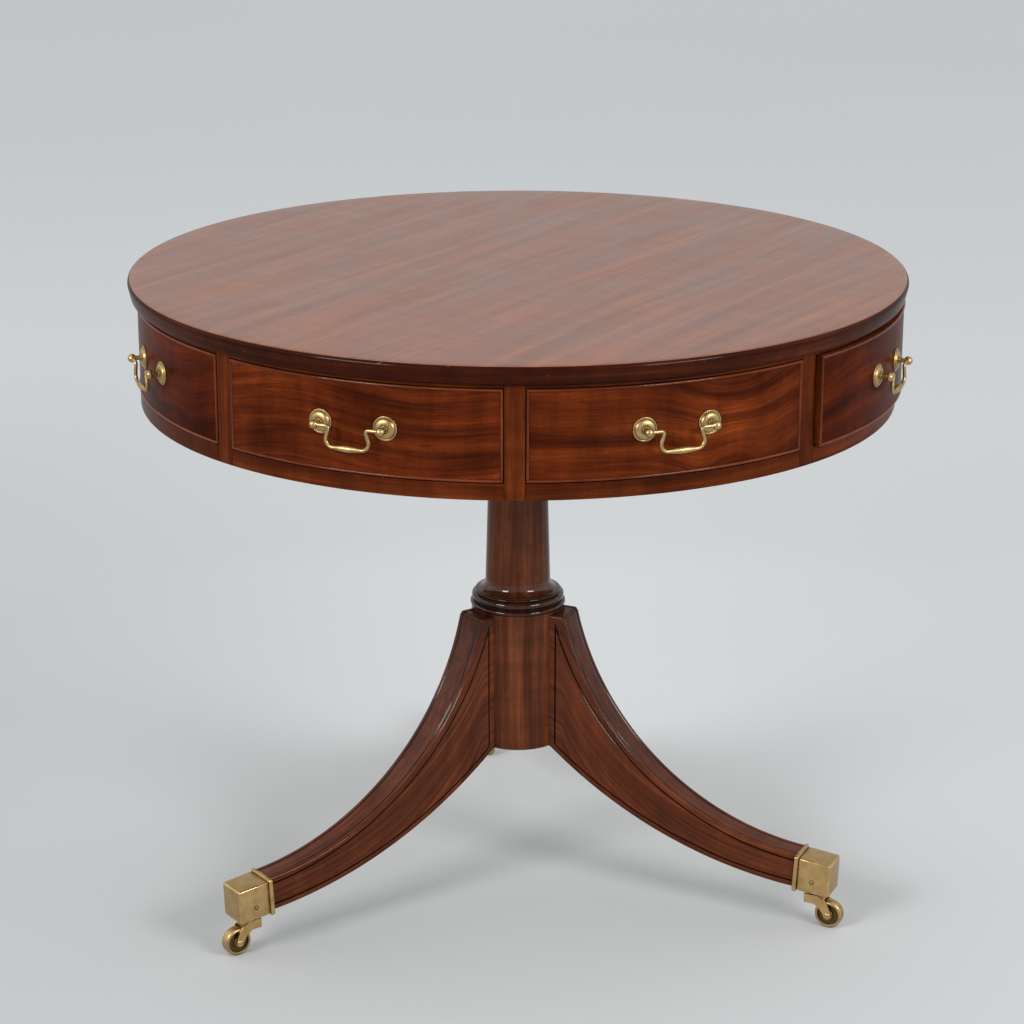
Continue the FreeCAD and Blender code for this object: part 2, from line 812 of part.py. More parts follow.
def make_leg():
    """A sabre leg: two swept curves, tapering in plan, with a dovetail tenon at its root."""
    body = new_body("leg")
    side = new_sketch(body, "XZ_Plane")
    root = "(hub_radius - leg_root_width / 2)"
    shoulder = f"({FOOT_TOP_START} - joint_fit - foot_step * cap_lean / (leg_foot_top - leg_foot_bottom))"
    sole = "(leg_reach - toe_lean)"
    corners = [
        (root, "leg_top"),
        ("leg_top_reach", "leg_top"),
        (f"({FOOT_TOP_START} - joint_fit)", "leg_foot_top + foot_step"),
        (shoulder, foot_line("leg_foot_top", FOOT_TOP_START, shoulder)),
        ("leg_reach", foot_line("leg_foot_top", FOOT_TOP_START, "leg_reach")),
        (sole, foot_line("leg_foot_bottom", "cap_start", sole)),
        ("cap_start", "leg_foot_bottom"),
        (HEEL, "hub_bottom"),
        (root, "hub_bottom"),
    ]
    outline(side, corners, {1: ("leg_upper_radius", -1), 6: ("leg_lower_radius", 1)})
    pad(body, side, "leg_root_width", symmetric=True)
    plan = new_sketch(body, "XY_Plane")
    for hand in ("", "-"):
        corners = [
            ("hub_radius", f"{hand}(leg_root_width / 2)"),
            ("cap_start", f"{hand}(leg_foot_width / 2)"),
            ("leg_reach + cap_wall", f"{hand}(leg_foot_width / 2)"),
            ("leg_reach + cap_wall", f"{hand}(leg_root_width / 2 + cap_wall)"),
            ("hub_radius", f"{hand}(leg_root_width / 2 + cap_wall)"),
        ]
        outline(plan, corners)
    pocket(body, plan, "2 * leg_top", symmetric=True)
    hub = new_sketch(body, "XY_Plane")
    circle(hub, "hub_radius + joint_fit")
    pocket(body, hub, "2 * leg_top + joint_fit", symmetric=True)
    tenon = new_sketch(body, "XY_Plane", "hub_bottom")
    dovetail(tenon, "joint_fit")
    pad(body, tenon, f"{SOCKET_TOP} - hub_bottom - joint_fit")
    pintle = new_sketch(body, "XY_Plane")
    circle(pintle, "pintle_radius + running_fit", "caster_reach")
    pocket(body, pintle, f"{CROWN_TOP} + pintle_length + caster_gap", upward=True)
    pin = new_sketch(body, "XZ_Plane")
    circle(pin, "pin_radius + pin_fit", "pin_reach", "pin_height")
    pocket(body, pin, "leg_root_width", symmetric=True)
    incise_border(body)
    return body


def sweep_centre(start, end, radius):
    """The centre of a curve of this radius between two points, above their chord."""
    chord = chord_text(start, end)
    share = f"(sqrt(({radius})^2 - {chord}^2 / 4) / {chord})"
    x = f"((({start[0]}) + ({end[0]})) / 2 - (({end[1]}) - ({start[1]})) * {share})"
    y = f"((({start[1]}) + ({end[1]})) / 2 + (({end[0]}) - ({start[0]})) * {share})"
    return x, y


def sweep_height(x, centre, radius):
    return f"({centre[1]} - sqrt(({radius})^2 - ({x} - {centre[0]})^2))"


def incise_border(body):
    """A fine line cut round each tapering side, meeting in an acute tip at the root."""
    taper = "atan((leg_root_width - leg_foot_width) / 2 / (cap_start - hub_radius))"
    line = new_sketch(body, "XZ_Plane")
    line.AttachmentOffset = FreeCAD.Placement(FreeCAD.Vector(), FreeCAD.Rotation(FreeCAD.Vector(0, 1, 0), 1))
    line.setExpression("AttachmentOffset.Base.z", formula(f"-leg_root_width / 2 - hub_radius * sin({taper})"))
    line.setExpression("AttachmentOffset.Rotation.Angle", formula(f"-{taper}"))
    foot = "(cap_start + cap_lip_width / 2)"
    lower = sweep_centre((HEEL, "hub_bottom"), ("cap_start", "leg_foot_bottom"), "leg_lower_radius")
    tip = ("(hub_radius + line_root)", "(hub_top - line_tip)")
    upper = sweep_centre(tip, (foot, "(leg_foot_top + foot_step - line_inset)"), "line_radius")
    for offset in ("0", "line_width"):
        root = f"(hub_radius + line_root + {offset})"
        toe = f"({foot} - {offset})"
        low_radius = f"(leg_lower_radius - line_inset - {offset})"
        high_radius = f"(line_radius + {offset})"
        corners = [
            (root, sweep_height(root, lower, low_radius)),
            (toe, sweep_height(toe, lower, low_radius)),
            (toe, sweep_height(toe, upper, high_radius)),
            (root, sweep_height(root, upper, high_radius)),
        ]
        outline(line, corners, {0: (low_radius, -1), 2: (high_radius, 1)})
    mirror(body, [pocket(body, line, "line_depth", upward=True)], "XZ_Plane")


def make_cap():
    """A brass box that sheathes the foot, with a raised lip and a boss for the caster."""
    body = new_body("toe_cap")
    cover = "cap_wall + joint_fit"
    shell = new_sketch(body, "XZ_Plane")
    top = f"leg_foot_top + {cover}"
    bottom = f"leg_foot_bottom - ({cover})"
    corners = [
        (FOOT_TOP_START, top),
        (CAP_END, foot_line(top, FOOT_TOP_START, CAP_END)),
        (CAP_SOLE, foot_line(bottom, "cap_start", CAP_SOLE)),
        ("cap_start", bottom),
    ]
    outline(shell, corners)
    pad(body, shell, CAP_WIDTH, symmetric=True)
    round_cap_corners(body)
    lip = new_sketch(body, "XZ_Plane")
    high = f"{top} + cap_lip_proud"
    low = f"{bottom} - cap_lip_proud"
    corners = [
        (FOOT_TOP_START, high),
        (f"{FOOT_TOP_START} + cap_lip_width", foot_line(high, "0", "cap_lip_width")),
        ("cap_start + cap_lip_width", foot_line(low, "0", "cap_lip_width")),
        ("cap_start", low),
    ]
    outline(lip, corners)
    pad(body, lip, f"{CAP_WIDTH} + 2 * cap_lip_proud", symmetric=True)
    boss_low = f"({CROWN_TOP} + caster_gap)"
    boss = new_sketch(body, "XY_Plane", boss_low)
    circle(boss, "caster_boss_radius", "caster_reach")
    pad(body, boss, f"leg_foot_bottom - {boss_low}")
    cavity = new_sketch(body, "XZ_Plane")
    lead = "cap_lip_width"
    high = "leg_foot_top + joint_fit"
    low = "leg_foot_bottom - joint_fit"
    end = "leg_reach + joint_fit"
    sole = f"({end} - toe_lean)"
    corners = [
        (f"{FOOT_TOP_START} - {lead}", foot_line(high, "0", f"-{lead}")),
        (end, foot_line(high, FOOT_TOP_START, end)),
        (sole, foot_line(low, "cap_start", sole)),
        (f"cap_start - {lead}", foot_line(low, "0", f"-{lead}")),
    ]
    outline(cavity, corners)
    pocket(body, cavity, "leg_foot_width + 2 * joint_fit", symmetric=True)
    pintle = new_sketch(body, "XY_Plane")
    circle(pintle, "pintle_radius + running_fit", "caster_reach")
    pocket(body, pintle, "leg_foot_bottom", upward=True)
    pin = new_sketch(body, "XZ_Plane")
    circle(pin, "pin_radius + pin_fit", "pin_reach", "pin_height")
    pocket(body, pin, "leg_root_width", symmetric=True)
    return body


def round_cap_corners(body):
    """Rounds the two leaning corners at the toe."""
    document.recompute()
    toe = number(CAP_END)
    wall = number("cap_wall")
    base = body.Tip
    names = []
    for index, edge in enumerate(base.Shape.Edges, 1):
        box = edge.BoundBox
        if abs(box.XMax - toe) < TOUCH and box.XLength < wall and box.YLength < TOUCH:
            names.append(f"Edge{index}")
    fillet = body.newObject("PartDesign::Fillet", "toe_cap_corners")
    fillet.Base = (base, names)
    fillet.setExpression("Radius", formula("cap_corner"))


def make_cap_pin():
    """A small round-headed pin, its head at the origin pointing along +Y."""
    body = new_body("cap_pin")
    sketch = new_sketch(body, "XY_Plane")
    corners = [
        ("0", "-pin_length"),
        ("pin_radius", "-pin_length"),
        ("pin_radius", "pin_fit"),
        ("pin_head_radius", "pin_fit"),
        ("0", "pin_fit + pin_head_height"),
    ]
    outline(sketch, corners, {3: (dome("pin_head_radius", "pin_head_height"), -1)})
    revolve(body, sketch, body_axis(body, "Y_Axis"))
    return body


# Casters, drawn about the swivel axis with the wheel trailing along +X


def make_fork():
    """A square-ended strap on a pintle, with two cheeks that curve down to the axle."""
    body = new_body("caster_fork")
    horn = new_sketch(body, "XZ_Plane")
    corners = [
        ("-fork_back", CROWN_TOP),
        ("-fork_back", FORK_LOW),
        ("fork_throat - fork_back", FORK_LOW),
        ("caster_trail - fork_eye_radius", "wheel_radius"),
        ("caster_trail + fork_eye_radius", "wheel_radius"),
        ("fork_brow - fork_back", CROWN_TOP),
    ]
    outline(horn, corners, HORN_CURVES)
    pad(body, horn, AXLE_SPAN, symmetric=True)
    gap = new_sketch(body, "XZ_Plane")
    reach = "caster_trail + wheel_radius"
    rectangle(gap, f"-({reach})", reach, "0", CROWN_LOW)
    pocket(body, gap, "wheel_width + 2 * fork_side_gap", symmetric=True)
    eye = new_sketch(body, "XZ_Plane")
    circle(eye, "axle_radius + pin_fit", "caster_trail", "wheel_radius")
    pocket(body, eye, f"{AXLE_SPAN} + fork_cheek", symmetric=True)
    pintle = new_sketch(body, "XY_Plane", CROWN_TOP)
    circle(pintle, "pintle_radius")
    pad(body, pintle, "pintle_length")
    return body


def make_axle():
    """A riveted pin along Y with a domed head at each end."""
    body = new_body("caster_axle")
    sketch = new_sketch(body, "XY_Plane")
    end = f"({AXLE_SPAN} / 2 + pin_fit)"
    corners = [
        ("0", f"-({end} + axle_head)"),
        ("axle_head_radius", f"-{end}"),
        ("axle_radius", f"-{end}"),
        ("axle_radius", end),
        ("axle_head_radius", end),
        ("0", f"{end} + axle_head"),
    ]
    head = dome("axle_head_radius", "axle_head")
    outline(sketch, corners, {0: (head, -1), 4: (head, -1)})
    revolve(body, sketch, body_axis(body, "Y_Axis"))
    return body


def make_wheel():
    """A wheel with a rounded tread, a raised rim and hub, and dished sides."""
    body = new_body("caster_wheel")
    sketch = new_sketch(body, "XY_Plane")
    half = "wheel_width / 2"
    bore = "axle_radius + running_fit"
    rim = "wheel_radius - wheel_rim"
    web = f"({half} - wheel_dish)"
    corners = [
        (bore, f"-{half}"),
        ("wheel_hub_radius", f"-{half}"),
        ("wheel_hub_radius", f"-{web}"),
        (rim, f"-{web}"),
        (rim, f"-{half}"),
        ("wheel_radius - wheel_tread_round", f"-{half}"),
        ("wheel_radius", f"-({half} - wheel_tread_round)"),
        ("wheel_radius", f"{half} - wheel_tread_round"),
        ("wheel_radius - wheel_tread_round", half),
        (rim, half),
        (rim, web),
        ("wheel_hub_radius", web),
        ("wheel_hub_radius", half),
        (bore, half),
    ]
    outline(sketch, corners, {5: ("wheel_tread_round", -1), 7: ("wheel_tread_round", -1)})
    revolve(body, sketch, body_axis(body, "Y_Axis"))
    return body


# Pivot between pedestal and drum


def make_block():
    body = new_body("bearing_block")
    sketch = new_sketch(body, "XY_Plane", BLOCK_LOW)
    half = "block_width / 2"
    rectangle(sketch, f"-{half}", half, f"-{half}", half)
    slab = pad(body, sketch, "block_thickness")
    document.recompute()
    low = number(BLOCK_LOW)
    names = []
    for index, edge in enumerate(slab.Shape.Edges, 1):
        if edge.BoundBox.ZMax < low + TOUCH:
            names.append(f"Edge{index}")
    chamfer = body.newObject("PartDesign::Chamfer", "bearing_block_chamfer")
    chamfer.Base = (slab, names)
    chamfer.setExpression("Size", formula("block_chamfer"))
    hole = new_sketch(body, "XY_Plane", BLOCK_LOW)
    circle(hole, "tenon_radius + joint_fit")
    pocket(body, hole, "block_thickness", upward=True)
    return body


def make_spindle():
    body = new_body("pivot_spindle")
    low = f"({BLOCK_LOW} + block_thickness - spindle_depth)"
    high = f"({RAIL_TOP} + drawer_float + nut_height + spindle_tip)"
    sketch = new_sketch(body, "XY_Plane", low)
    circle(sketch, "spindle_radius")
    pad(body, sketch, f"{high} - {low}")
    return body


def make_nut():
    body = new_body("spindle_nut")
    sketch = new_sketch(body, "XY_Plane", f"{RAIL_TOP} + drawer_float")
    corners = []
    for index in range(NUT_SIDES):
        angle = 360 / NUT_SIDES * index
        corners.append((f"nut_radius * cos({angle})", f"nut_radius * sin({angle})"))
    outline(sketch, corners)
    circle(sketch, "spindle_radius + pin_fit")
    pad(body, sketch, "nut_height")
    return body


# Assembly: nodes maps each sub-part's name to its object

nodes = {}


def keep(item):
    nodes[item.Label] = item


running_hole = "spindle_radius + running_fit"
tight_hole = "spindle_radius + pin_fit"
base_low = f"{RAIL_TOP} - base_thickness"
base_radius = f"{FRAME_INNER} - joint_fit"
for item in (
    make_table_top(),
    make_stiles(),
    make_rails("lower_rails", DRUM_BOTTOM, "lower_rail_height"),
    make_rails("upper_rails", f"{TOP_UNDER} - upper_rail_height", "upper_rail_height"),
    disc("drum_base", base_low, "base_thickness", base_radius, running_hole),
    make_guides(),
    make_stops(),
    disc("upper_swivel_plate", UPPER_PLATE_LOW, "plate_thickness", "plate_radius", running_hole),
    disc("lower_swivel_plate", LOWER_PLATE_LOW, "plate_thickness", "plate_radius", tight_hole),
    make_pillar(),
    make_block(),
    make_spindle(),
    make_nut(),
):
    keep(item)

front = make_front()
beads = make_beads()
mounts = group("handle_mounts", [make_roses(), make_posts()])
carcase = group("drawer_carcase", [make_sides(), make_back()])
bottom = make_bottom()
bail = make_bail()

QUARTER = 360 / DRAWERS
DRAWER_NAMES = ("front", "right", "back", "left")
FALSE_NAMES = ("front_right", "back_right", "back_left", "front_left")
AJAR_DRAWER = "right"

for index, name in enumerate(DRAWER_NAMES):
    opened = number("ajar") if name == AJAR_DRAWER else 0.0
    place = turned(index * QUARTER, 0, -opened)
    keep(copy_of(front, f"drawer_{name}_front", place))
    keep(copy_of(beads, f"drawer_{name}_beads", place))
    keep(copy_of(carcase, f"drawer_{name}_carcase", place))
    keep(copy_of(bottom, f"drawer_{name}_bottom", place))
    keep(copy_of(mounts, f"drawer_{name}_handle_mounts", place))
    keep(copy_of(bail, f"drawer_{name}_bail", place))

for label, source in (("false_fronts", front), ("false_front_beads", beads), ("false_handle_mounts", mounts)):
    members = []
    for index in range(DRAWERS):
        members.append(copy_of(source, f"{label}_{index}", turned((index + 0.5) * QUARTER)))
    keep(group(label, members))
for index, name in enumerate(FALSE_NAMES):
    keep(copy_of(bail, f"false_{name}_bail", turned((index + 0.5) * QUARTER)))

leg = make_leg()
cap = make_cap()
pin = make_cap_pin()
fork = make_fork()
axle = make_axle()
wheel = make_wheel()
LEG_NAMES = ("left", "right", "back")
INWARD_CASTER = "back"

pins = []
for index, name in enumerate(LEG_NAMES):
    keep(copy_of(leg, f"leg_{name}", leg_place(index)))
    keep(copy_of(cap, f"toe_cap_{name}", leg_place(index)))
    swivel = leg_place(index, number("caster_reach"))
    if name == INWARD_CASTER:
        swivel = swivel.multiply(turned(180))
    keep(copy_of(fork, f"caster_fork_{name}", swivel))
    hub = swivel.multiply(turned(0, number("caster_trail"), 0, number("wheel_radius")))
    keep(copy_of(axle, f"caster_axle_{name}", hub))
    keep(copy_of(wheel, f"caster_wheel_{name}", hub))
    for side in (1, -1):
        across = side * number(CAP_WIDTH) / 2
        spot = leg_place(index, number("pin_reach"), across, number("pin_height"))
        facing = spot.multiply(turned(0 if side > 0 else 180))
        pins.append(copy_of(pin, f"cap_pin_{name}_{side}", facing))
keep(group("toe_cap_pins", pins))

document.recompute()
for item in document.Objects:
    if "Invalid" in item.State or "Error" in item.State:
        raise ValueError(f"{item.Label} failed to compute")
for name, item in nodes.items():
    shape = Part.getShape(item)
    if shape.isNull() or not shape.isValid() or not shape.Solids:
        raise ValueError(f"{name} has no sound shape")

os.makedirs("parts", exist_ok=True)
for name, item in nodes.items():
    Part.getShape(item).exportStep(f"parts/{name}.step")
print(len(nodes), "sub-parts written")
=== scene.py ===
import json
import math

import bmesh
import bpy
import numpy as np
from mathutils import Matrix, Vector


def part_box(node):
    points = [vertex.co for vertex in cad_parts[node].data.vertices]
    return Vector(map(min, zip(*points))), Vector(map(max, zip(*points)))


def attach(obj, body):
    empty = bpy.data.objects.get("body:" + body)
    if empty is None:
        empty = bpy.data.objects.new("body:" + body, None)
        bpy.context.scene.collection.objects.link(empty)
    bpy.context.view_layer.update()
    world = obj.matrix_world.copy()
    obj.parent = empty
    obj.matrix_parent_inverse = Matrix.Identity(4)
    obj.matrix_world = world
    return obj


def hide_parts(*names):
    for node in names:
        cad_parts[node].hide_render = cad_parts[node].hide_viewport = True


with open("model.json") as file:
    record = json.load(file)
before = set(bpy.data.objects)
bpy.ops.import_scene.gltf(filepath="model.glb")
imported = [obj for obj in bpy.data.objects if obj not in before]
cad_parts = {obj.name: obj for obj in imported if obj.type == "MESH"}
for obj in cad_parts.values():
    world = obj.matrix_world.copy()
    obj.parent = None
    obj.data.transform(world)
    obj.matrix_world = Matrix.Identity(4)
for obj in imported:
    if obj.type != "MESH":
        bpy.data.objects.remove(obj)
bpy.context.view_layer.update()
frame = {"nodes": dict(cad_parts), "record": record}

# Sizes in metres. Those that the frame gives are read from it.

MM = 0.001
QUARTER = math.pi / 2
SECTIONS = 8
SECTION_HALF = math.pi / SECTIONS
MERGE_DISTANCE = 1e-7
TOLERANCE = 1e-6

TOP_LOW, TOP_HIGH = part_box("table_top")
TOP_RADIUS = TOP_HIGH.x
TOP_UNDER = TOP_LOW.z
TOP_EDGE_DROP = 5 * MM
TOP_EDGE_TUCK = 3 * MM
TOP_LOWER_CORNER = 2 * MM
TOP_GRAIN_TURN = math.radians(80)
TOP_SEGMENTS = 256
RIM_STEPS = 12
RIM_SPLIT = 7

RAIL_LOW, RAIL_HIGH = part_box("lower_rails")
DRUM_RADIUS = RAIL_HIGH.x
DRUM_BOTTOM = RAIL_LOW.z
RAIL_TOP = RAIL_HIGH.z
UPPER_RAIL_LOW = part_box("upper_rails")[0].z
FRONT_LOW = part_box("drawer_front_front")[0].z
FRONT_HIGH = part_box("drawer_front_front")[1].z
BEAD_REACH = -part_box("drawer_front_beads")[0].y
STILE_HALF = 10.75 * MM
STILE_DEPTH = 28 * MM
FRONT_DEPTH = 20 * MM
BEAD_DEPTH = 8 * MM
BEAD_WIDTH = 3 * MM
FRONT_GAP = 0.8 * MM
JOINT_GAP = 0.1 * MM
RAIL_ARRIS = 0.5 * MM
STILE_ARRIS = 0.6 * MM

DRAWERS = {"front": 0, "right": 1, "back": 2, "left": 3}
AJAR = {"right": 6 * MM}
FALSE_FRONTS = {"front_right": 0, "back_right": 1, "back_left": 2, "front_left": 3}

MOUNT_LOW, MOUNT_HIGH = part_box("drawer_front_handle_mounts")
HANDLE_HEIGHT = (MOUNT_LOW.z + MOUNT_HIGH.z) / 2
HANDLE_HALF = 37.5 * MM
BALL_REACH = 445 * MM
BALL_RADIUS = 4.78 * MM
POST_NECK = 2.55 * MM
POST_FOOT = 4.5 * MM
ROSE_QUIRK = 11.1 * MM
HANDLE_ANGLE = math.asin(HANDLE_HALF / BALL_REACH)
BAIL_LINE = BALL_REACH * math.cos(HANDLE_ANGLE)
BAIL_WIRE = 2 * MM
BAIL_SWELL = 3.7 * MM
BAIL_DROP = 22 * MM
BAIL_NECK = 20.2 * MM
BAIL_BELLY = 26.8 * MM
BAIL_BITE = 2.4 * MM
BAIL_BENDS = (3.2 * MM, 8 * MM)
BAIL_SIDES = 14

LEG_ANGLES = {"left": -31, "right": 89, "back": 209}
LEG_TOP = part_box("leg_left")[1].z
HUB_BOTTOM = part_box("pillar")[0].z
HUB_RADIUS = 54.5 * MM
HUB_CORNER = 1.2 * MM
HUB_TOP = LEG_TOP + 3 * MM
SHAFT_TOP = 32.5 * MM
PILLAR_SEGMENTS = 128
PILLAR_SHARES = (0.25, 0.5, 0.75, 1)
COVE_STEPS = 10
# Painted shade at the foot of the flare
COVE_SHADE = 0.28


# Mesh building


def turned(angle, outward=0.0):
    """A matrix that first moves along -Y and then turns about the Z axis."""
    return Matrix.Rotation(angle, 4, "Z") @ Matrix.Translation((0, -outward, 0))


def arc(centre, radius, start, end, steps):
    """Points on a circle, the angles in degrees."""
    angles = np.radians(np.linspace(start, end, steps))
    return [(centre[0] + radius * math.cos(a), centre[1] + radius * math.sin(a)) for a in angles]


def arc_circle(start, end, radius):
    """Centre of the circle of a radius through two points, lying above their chord."""
    chord = Vector(end) - Vector(start)
    middle = (Vector(start) + Vector(end)) / 2
    normal = Vector((-chord.y, chord.x)).normalized()
    if normal.y < 0:
        normal = -normal
    centre = middle + normal * math.sqrt(radius**2 - (chord.length / 2) ** 2)
    return centre, radius


def arc_height(u, circle, offset=0.0):
    """Height of the lower half of a circle, widened by an offset, at a distance u."""
    centre, radius = circle
    reach = max((radius + offset) ** 2 - (u - centre.x) ** 2, 0.0)
    return centre.y - math.sqrt(reach)


class Grid:
    """Quads between rows of points, with a grain place and a share of darkening, much of it painted shade,
    for each point.
    """

    def __init__(self):
        self.points = []
        self.grain = []
        self.dirt = []
        self.faces = []

    def add(self, rows, grain=None, dirt=None, wrap_rows=False, ends=False):
        """Closed rows joined one to the next, the last one also to the first where they wrap."""
        rows = np.asarray(rows, float)
        count, width = rows.shape[:2]
        grain = np.zeros(rows.shape) if grain is None else np.asarray(grain, float)
        dirt = np.zeros((count, width)) if dirt is None else np.asarray(dirt, float)
        base = len(self.points)
        self.points.extend(rows.reshape(-1, 3).tolist())
        self.grain.extend(grain.reshape(-1, 3).tolist())
        self.dirt.extend(dirt.ravel().tolist())
        for i in range(count if wrap_rows else count - 1):
            below = base + i * width
            above = base + (i + 1) % count * width
            for j in range(width):
                k = (j + 1) % width
                self.faces.append((below + j, below + k, above + k, above + j))
        if ends:
            self.faces.append(tuple(base + j for j in reversed(range(width))))
            self.faces.append(tuple(base + (count - 1) * width + j for j in range(width)))
        return self

    def piece(self, name, material, place=None, sharp=35):
        """A new object of all that was added, smooth except at angles over sharp degrees."""
        mesh = bpy.data.meshes.new(name)
        mesh.from_pydata(self.points, [], self.faces)
        attribute = mesh.attributes.new("grain", "FLOAT_VECTOR", "POINT")
        attribute.data.foreach_set("vector", np.asarray(self.grain, np.float32).ravel())
        attribute = mesh.attributes.new("dirt", "FLOAT", "POINT")
        attribute.data.foreach_set("value", np.asarray(self.dirt, np.float32))
        if place is not None:
            mesh.transform(place)
        tidy_mesh(mesh)
        mesh.shade_smooth()
        mesh.set_sharp_from_angle(angle=math.radians(sharp))
        mesh.materials.append(material)
        thing = bpy.data.objects.new(name, mesh)
        bpy.context.scene.collection.objects.link(thing)
        return thing


def tidy_mesh(mesh):
    """Joins points that coincide and turns every face outward."""
    work = bmesh.new()
    work.from_mesh(mesh)
    bmesh.ops.remove_doubles(work, verts=work.verts, dist=MERGE_DISTANCE)
    bmesh.ops.recalc_face_normals(work, faces=work.faces)
    work.to_mesh(mesh)
    work.free()


def soften(thing, width, segments=2, angle=40):
    """A small rounding along every sharp edge."""
    bevel = thing.modifiers.new("soft edges", "BEVEL")
    bevel.width = width
    bevel.segments = segments
    bevel.limit_method = "ANGLE"
    bevel.angle_limit = math.radians(angle)
    bevel.harden_normals = True


def settle(thing, body, slot, *nodes):
    """The piece rides on a body and stands for CAD nodes, which it hides; its slot is not used."""
    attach(thing, body)
    if nodes:
        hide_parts(*nodes)
    return thing


def lathe_rows(profile, segments):
    """Rings of a turned profile about Z, and their grain places along Z."""
    angles = np.linspace(0, 2 * math.pi, segments, endpoint=False)
    rows = []
    for radius, height in profile:
        rows.append([(radius * math.cos(a), radius * math.sin(a), height) for a in angles])
    rows = np.asarray(rows)
    grain = np.stack([rows[..., 2], rows[..., 0], rows[..., 1]], -1)
    return rows, grain


def brass_rows(profile, segments, tarnish_and_shade=None):
    """Rings of a turned profile about Z, each with its share of tarnish."""
    rows, _ = lathe_rows(profile, segments)
    shares = [[tarnish_and_shade(*point) if tarnish_and_shade else 0.0] * segments for point in profile]
    return rows, shares


def axis_frame(origin, direction):
    """A matrix that carries Z onto a direction from an origin."""
    turn = Vector(direction).to_track_quat("Z", "Y").to_matrix().to_4x4()
    return Matrix.Translation(origin) @ turn


def moved(rows, place):
    """Rows of points carried by a matrix."""
    place = np.array(place)
    return rows @ place[:3, :3].T + place[:3, 3]


# Materials


class Shader:
    """Short ways to add and join the nodes of one material."""

    def __init__(self, name):
        self.material = bpy.data.materials.new(name)
        self.material.use_nodes = True
        self.tree = self.material.node_tree
        self.surface = self.tree.nodes["Principled BSDF"]

    def feed(self, socket, value):
        if isinstance(value, bpy.types.NodeSocket):
            self.tree.links.new(value, socket)
        else:
            socket.default_value = value

    def add(self, kind, inputs, **settings):
        node = self.tree.nodes.new("ShaderNode" + kind)
        for name, value in settings.items():
            setattr(node, name, value)
        for key, value in inputs.items():
            self.feed(node.inputs[key], value)
        return node

    def grain(self):
        return self.add("Attribute", {}, attribute_name="grain").outputs["Vector"]

    def dirt(self):
        return self.add("Attribute", {}, attribute_name="dirt").outputs["Fac"]

    def place(self):
        return self.add("TexCoord", {}).outputs["Object"]

    def vector(self, operation, first, *others):
        inputs = dict(enumerate((first, *others)))
        return self.add("VectorMath", inputs, operation=operation).outputs

    def stretch(self, vector, along, across, shift=(0, 0, 0)):
        return self.vector("MULTIPLY_ADD", vector, (along, across, across), shift)[0]

    def noise(self, vector, detail=3.0, roughness=0.55):
        inputs = {"Vector": vector, "Scale": 1.0, "Detail": detail, "Roughness": roughness}
        return self.add("TexNoise", inputs).outputs[0]

    def math(self, operation, first, second):
        return self.add("Math", {0: first, 1: second}, operation=operation).outputs[0]

    def span(self, value, low, high, to_low=0.0, to_high=1.0):
        inputs = {"Value": value, "From Min": low, "From Max": high, "To Min": to_low, "To Max": to_high}
        return self.add("MapRange", inputs).outputs[0]

    def ramp(self, value, *stops):
        node = self.add("ValToRGB", {0: value})
        elements = node.color_ramp.elements
        while len(elements) < len(stops):
            elements.new(1.0)
        for element, (place, colour) in zip(elements, stops):
            element.position = place
            element.color = (*colour, 1)
        return node.outputs[0]

    def mix(self, factor, first, second, blend="MIX"):
        node = self.add("Mix", {0: factor}, data_type="RGBA", blend_type=blend)
        for socket, value in ((node.inputs[6], first), (node.inputs[7], second)):
            self.feed(socket, (*value, 1) if isinstance(value, tuple) else value)
        return node.outputs[2]

    def crevice(self, distance, low, high):
        node = self.add("AmbientOcclusion", {"Distance": distance}, samples=8)
        return self.span(node.outputs["AO"], low, high)

    def bump(self, height, strength, distance):
        inputs = {"Height": height, "Strength": strength, "Distance": distance}
        return self.add("Bump", inputs).outputs[0]

    def finish(self, **inputs):
        for name, value in inputs.items():
            self.feed(self.surface.inputs[name.replace("_", " ")], value)
        return self.material


def shade(colour, share):
    """A colour darkened to a share of itself."""
    return tuple(channel * share for channel in colour)


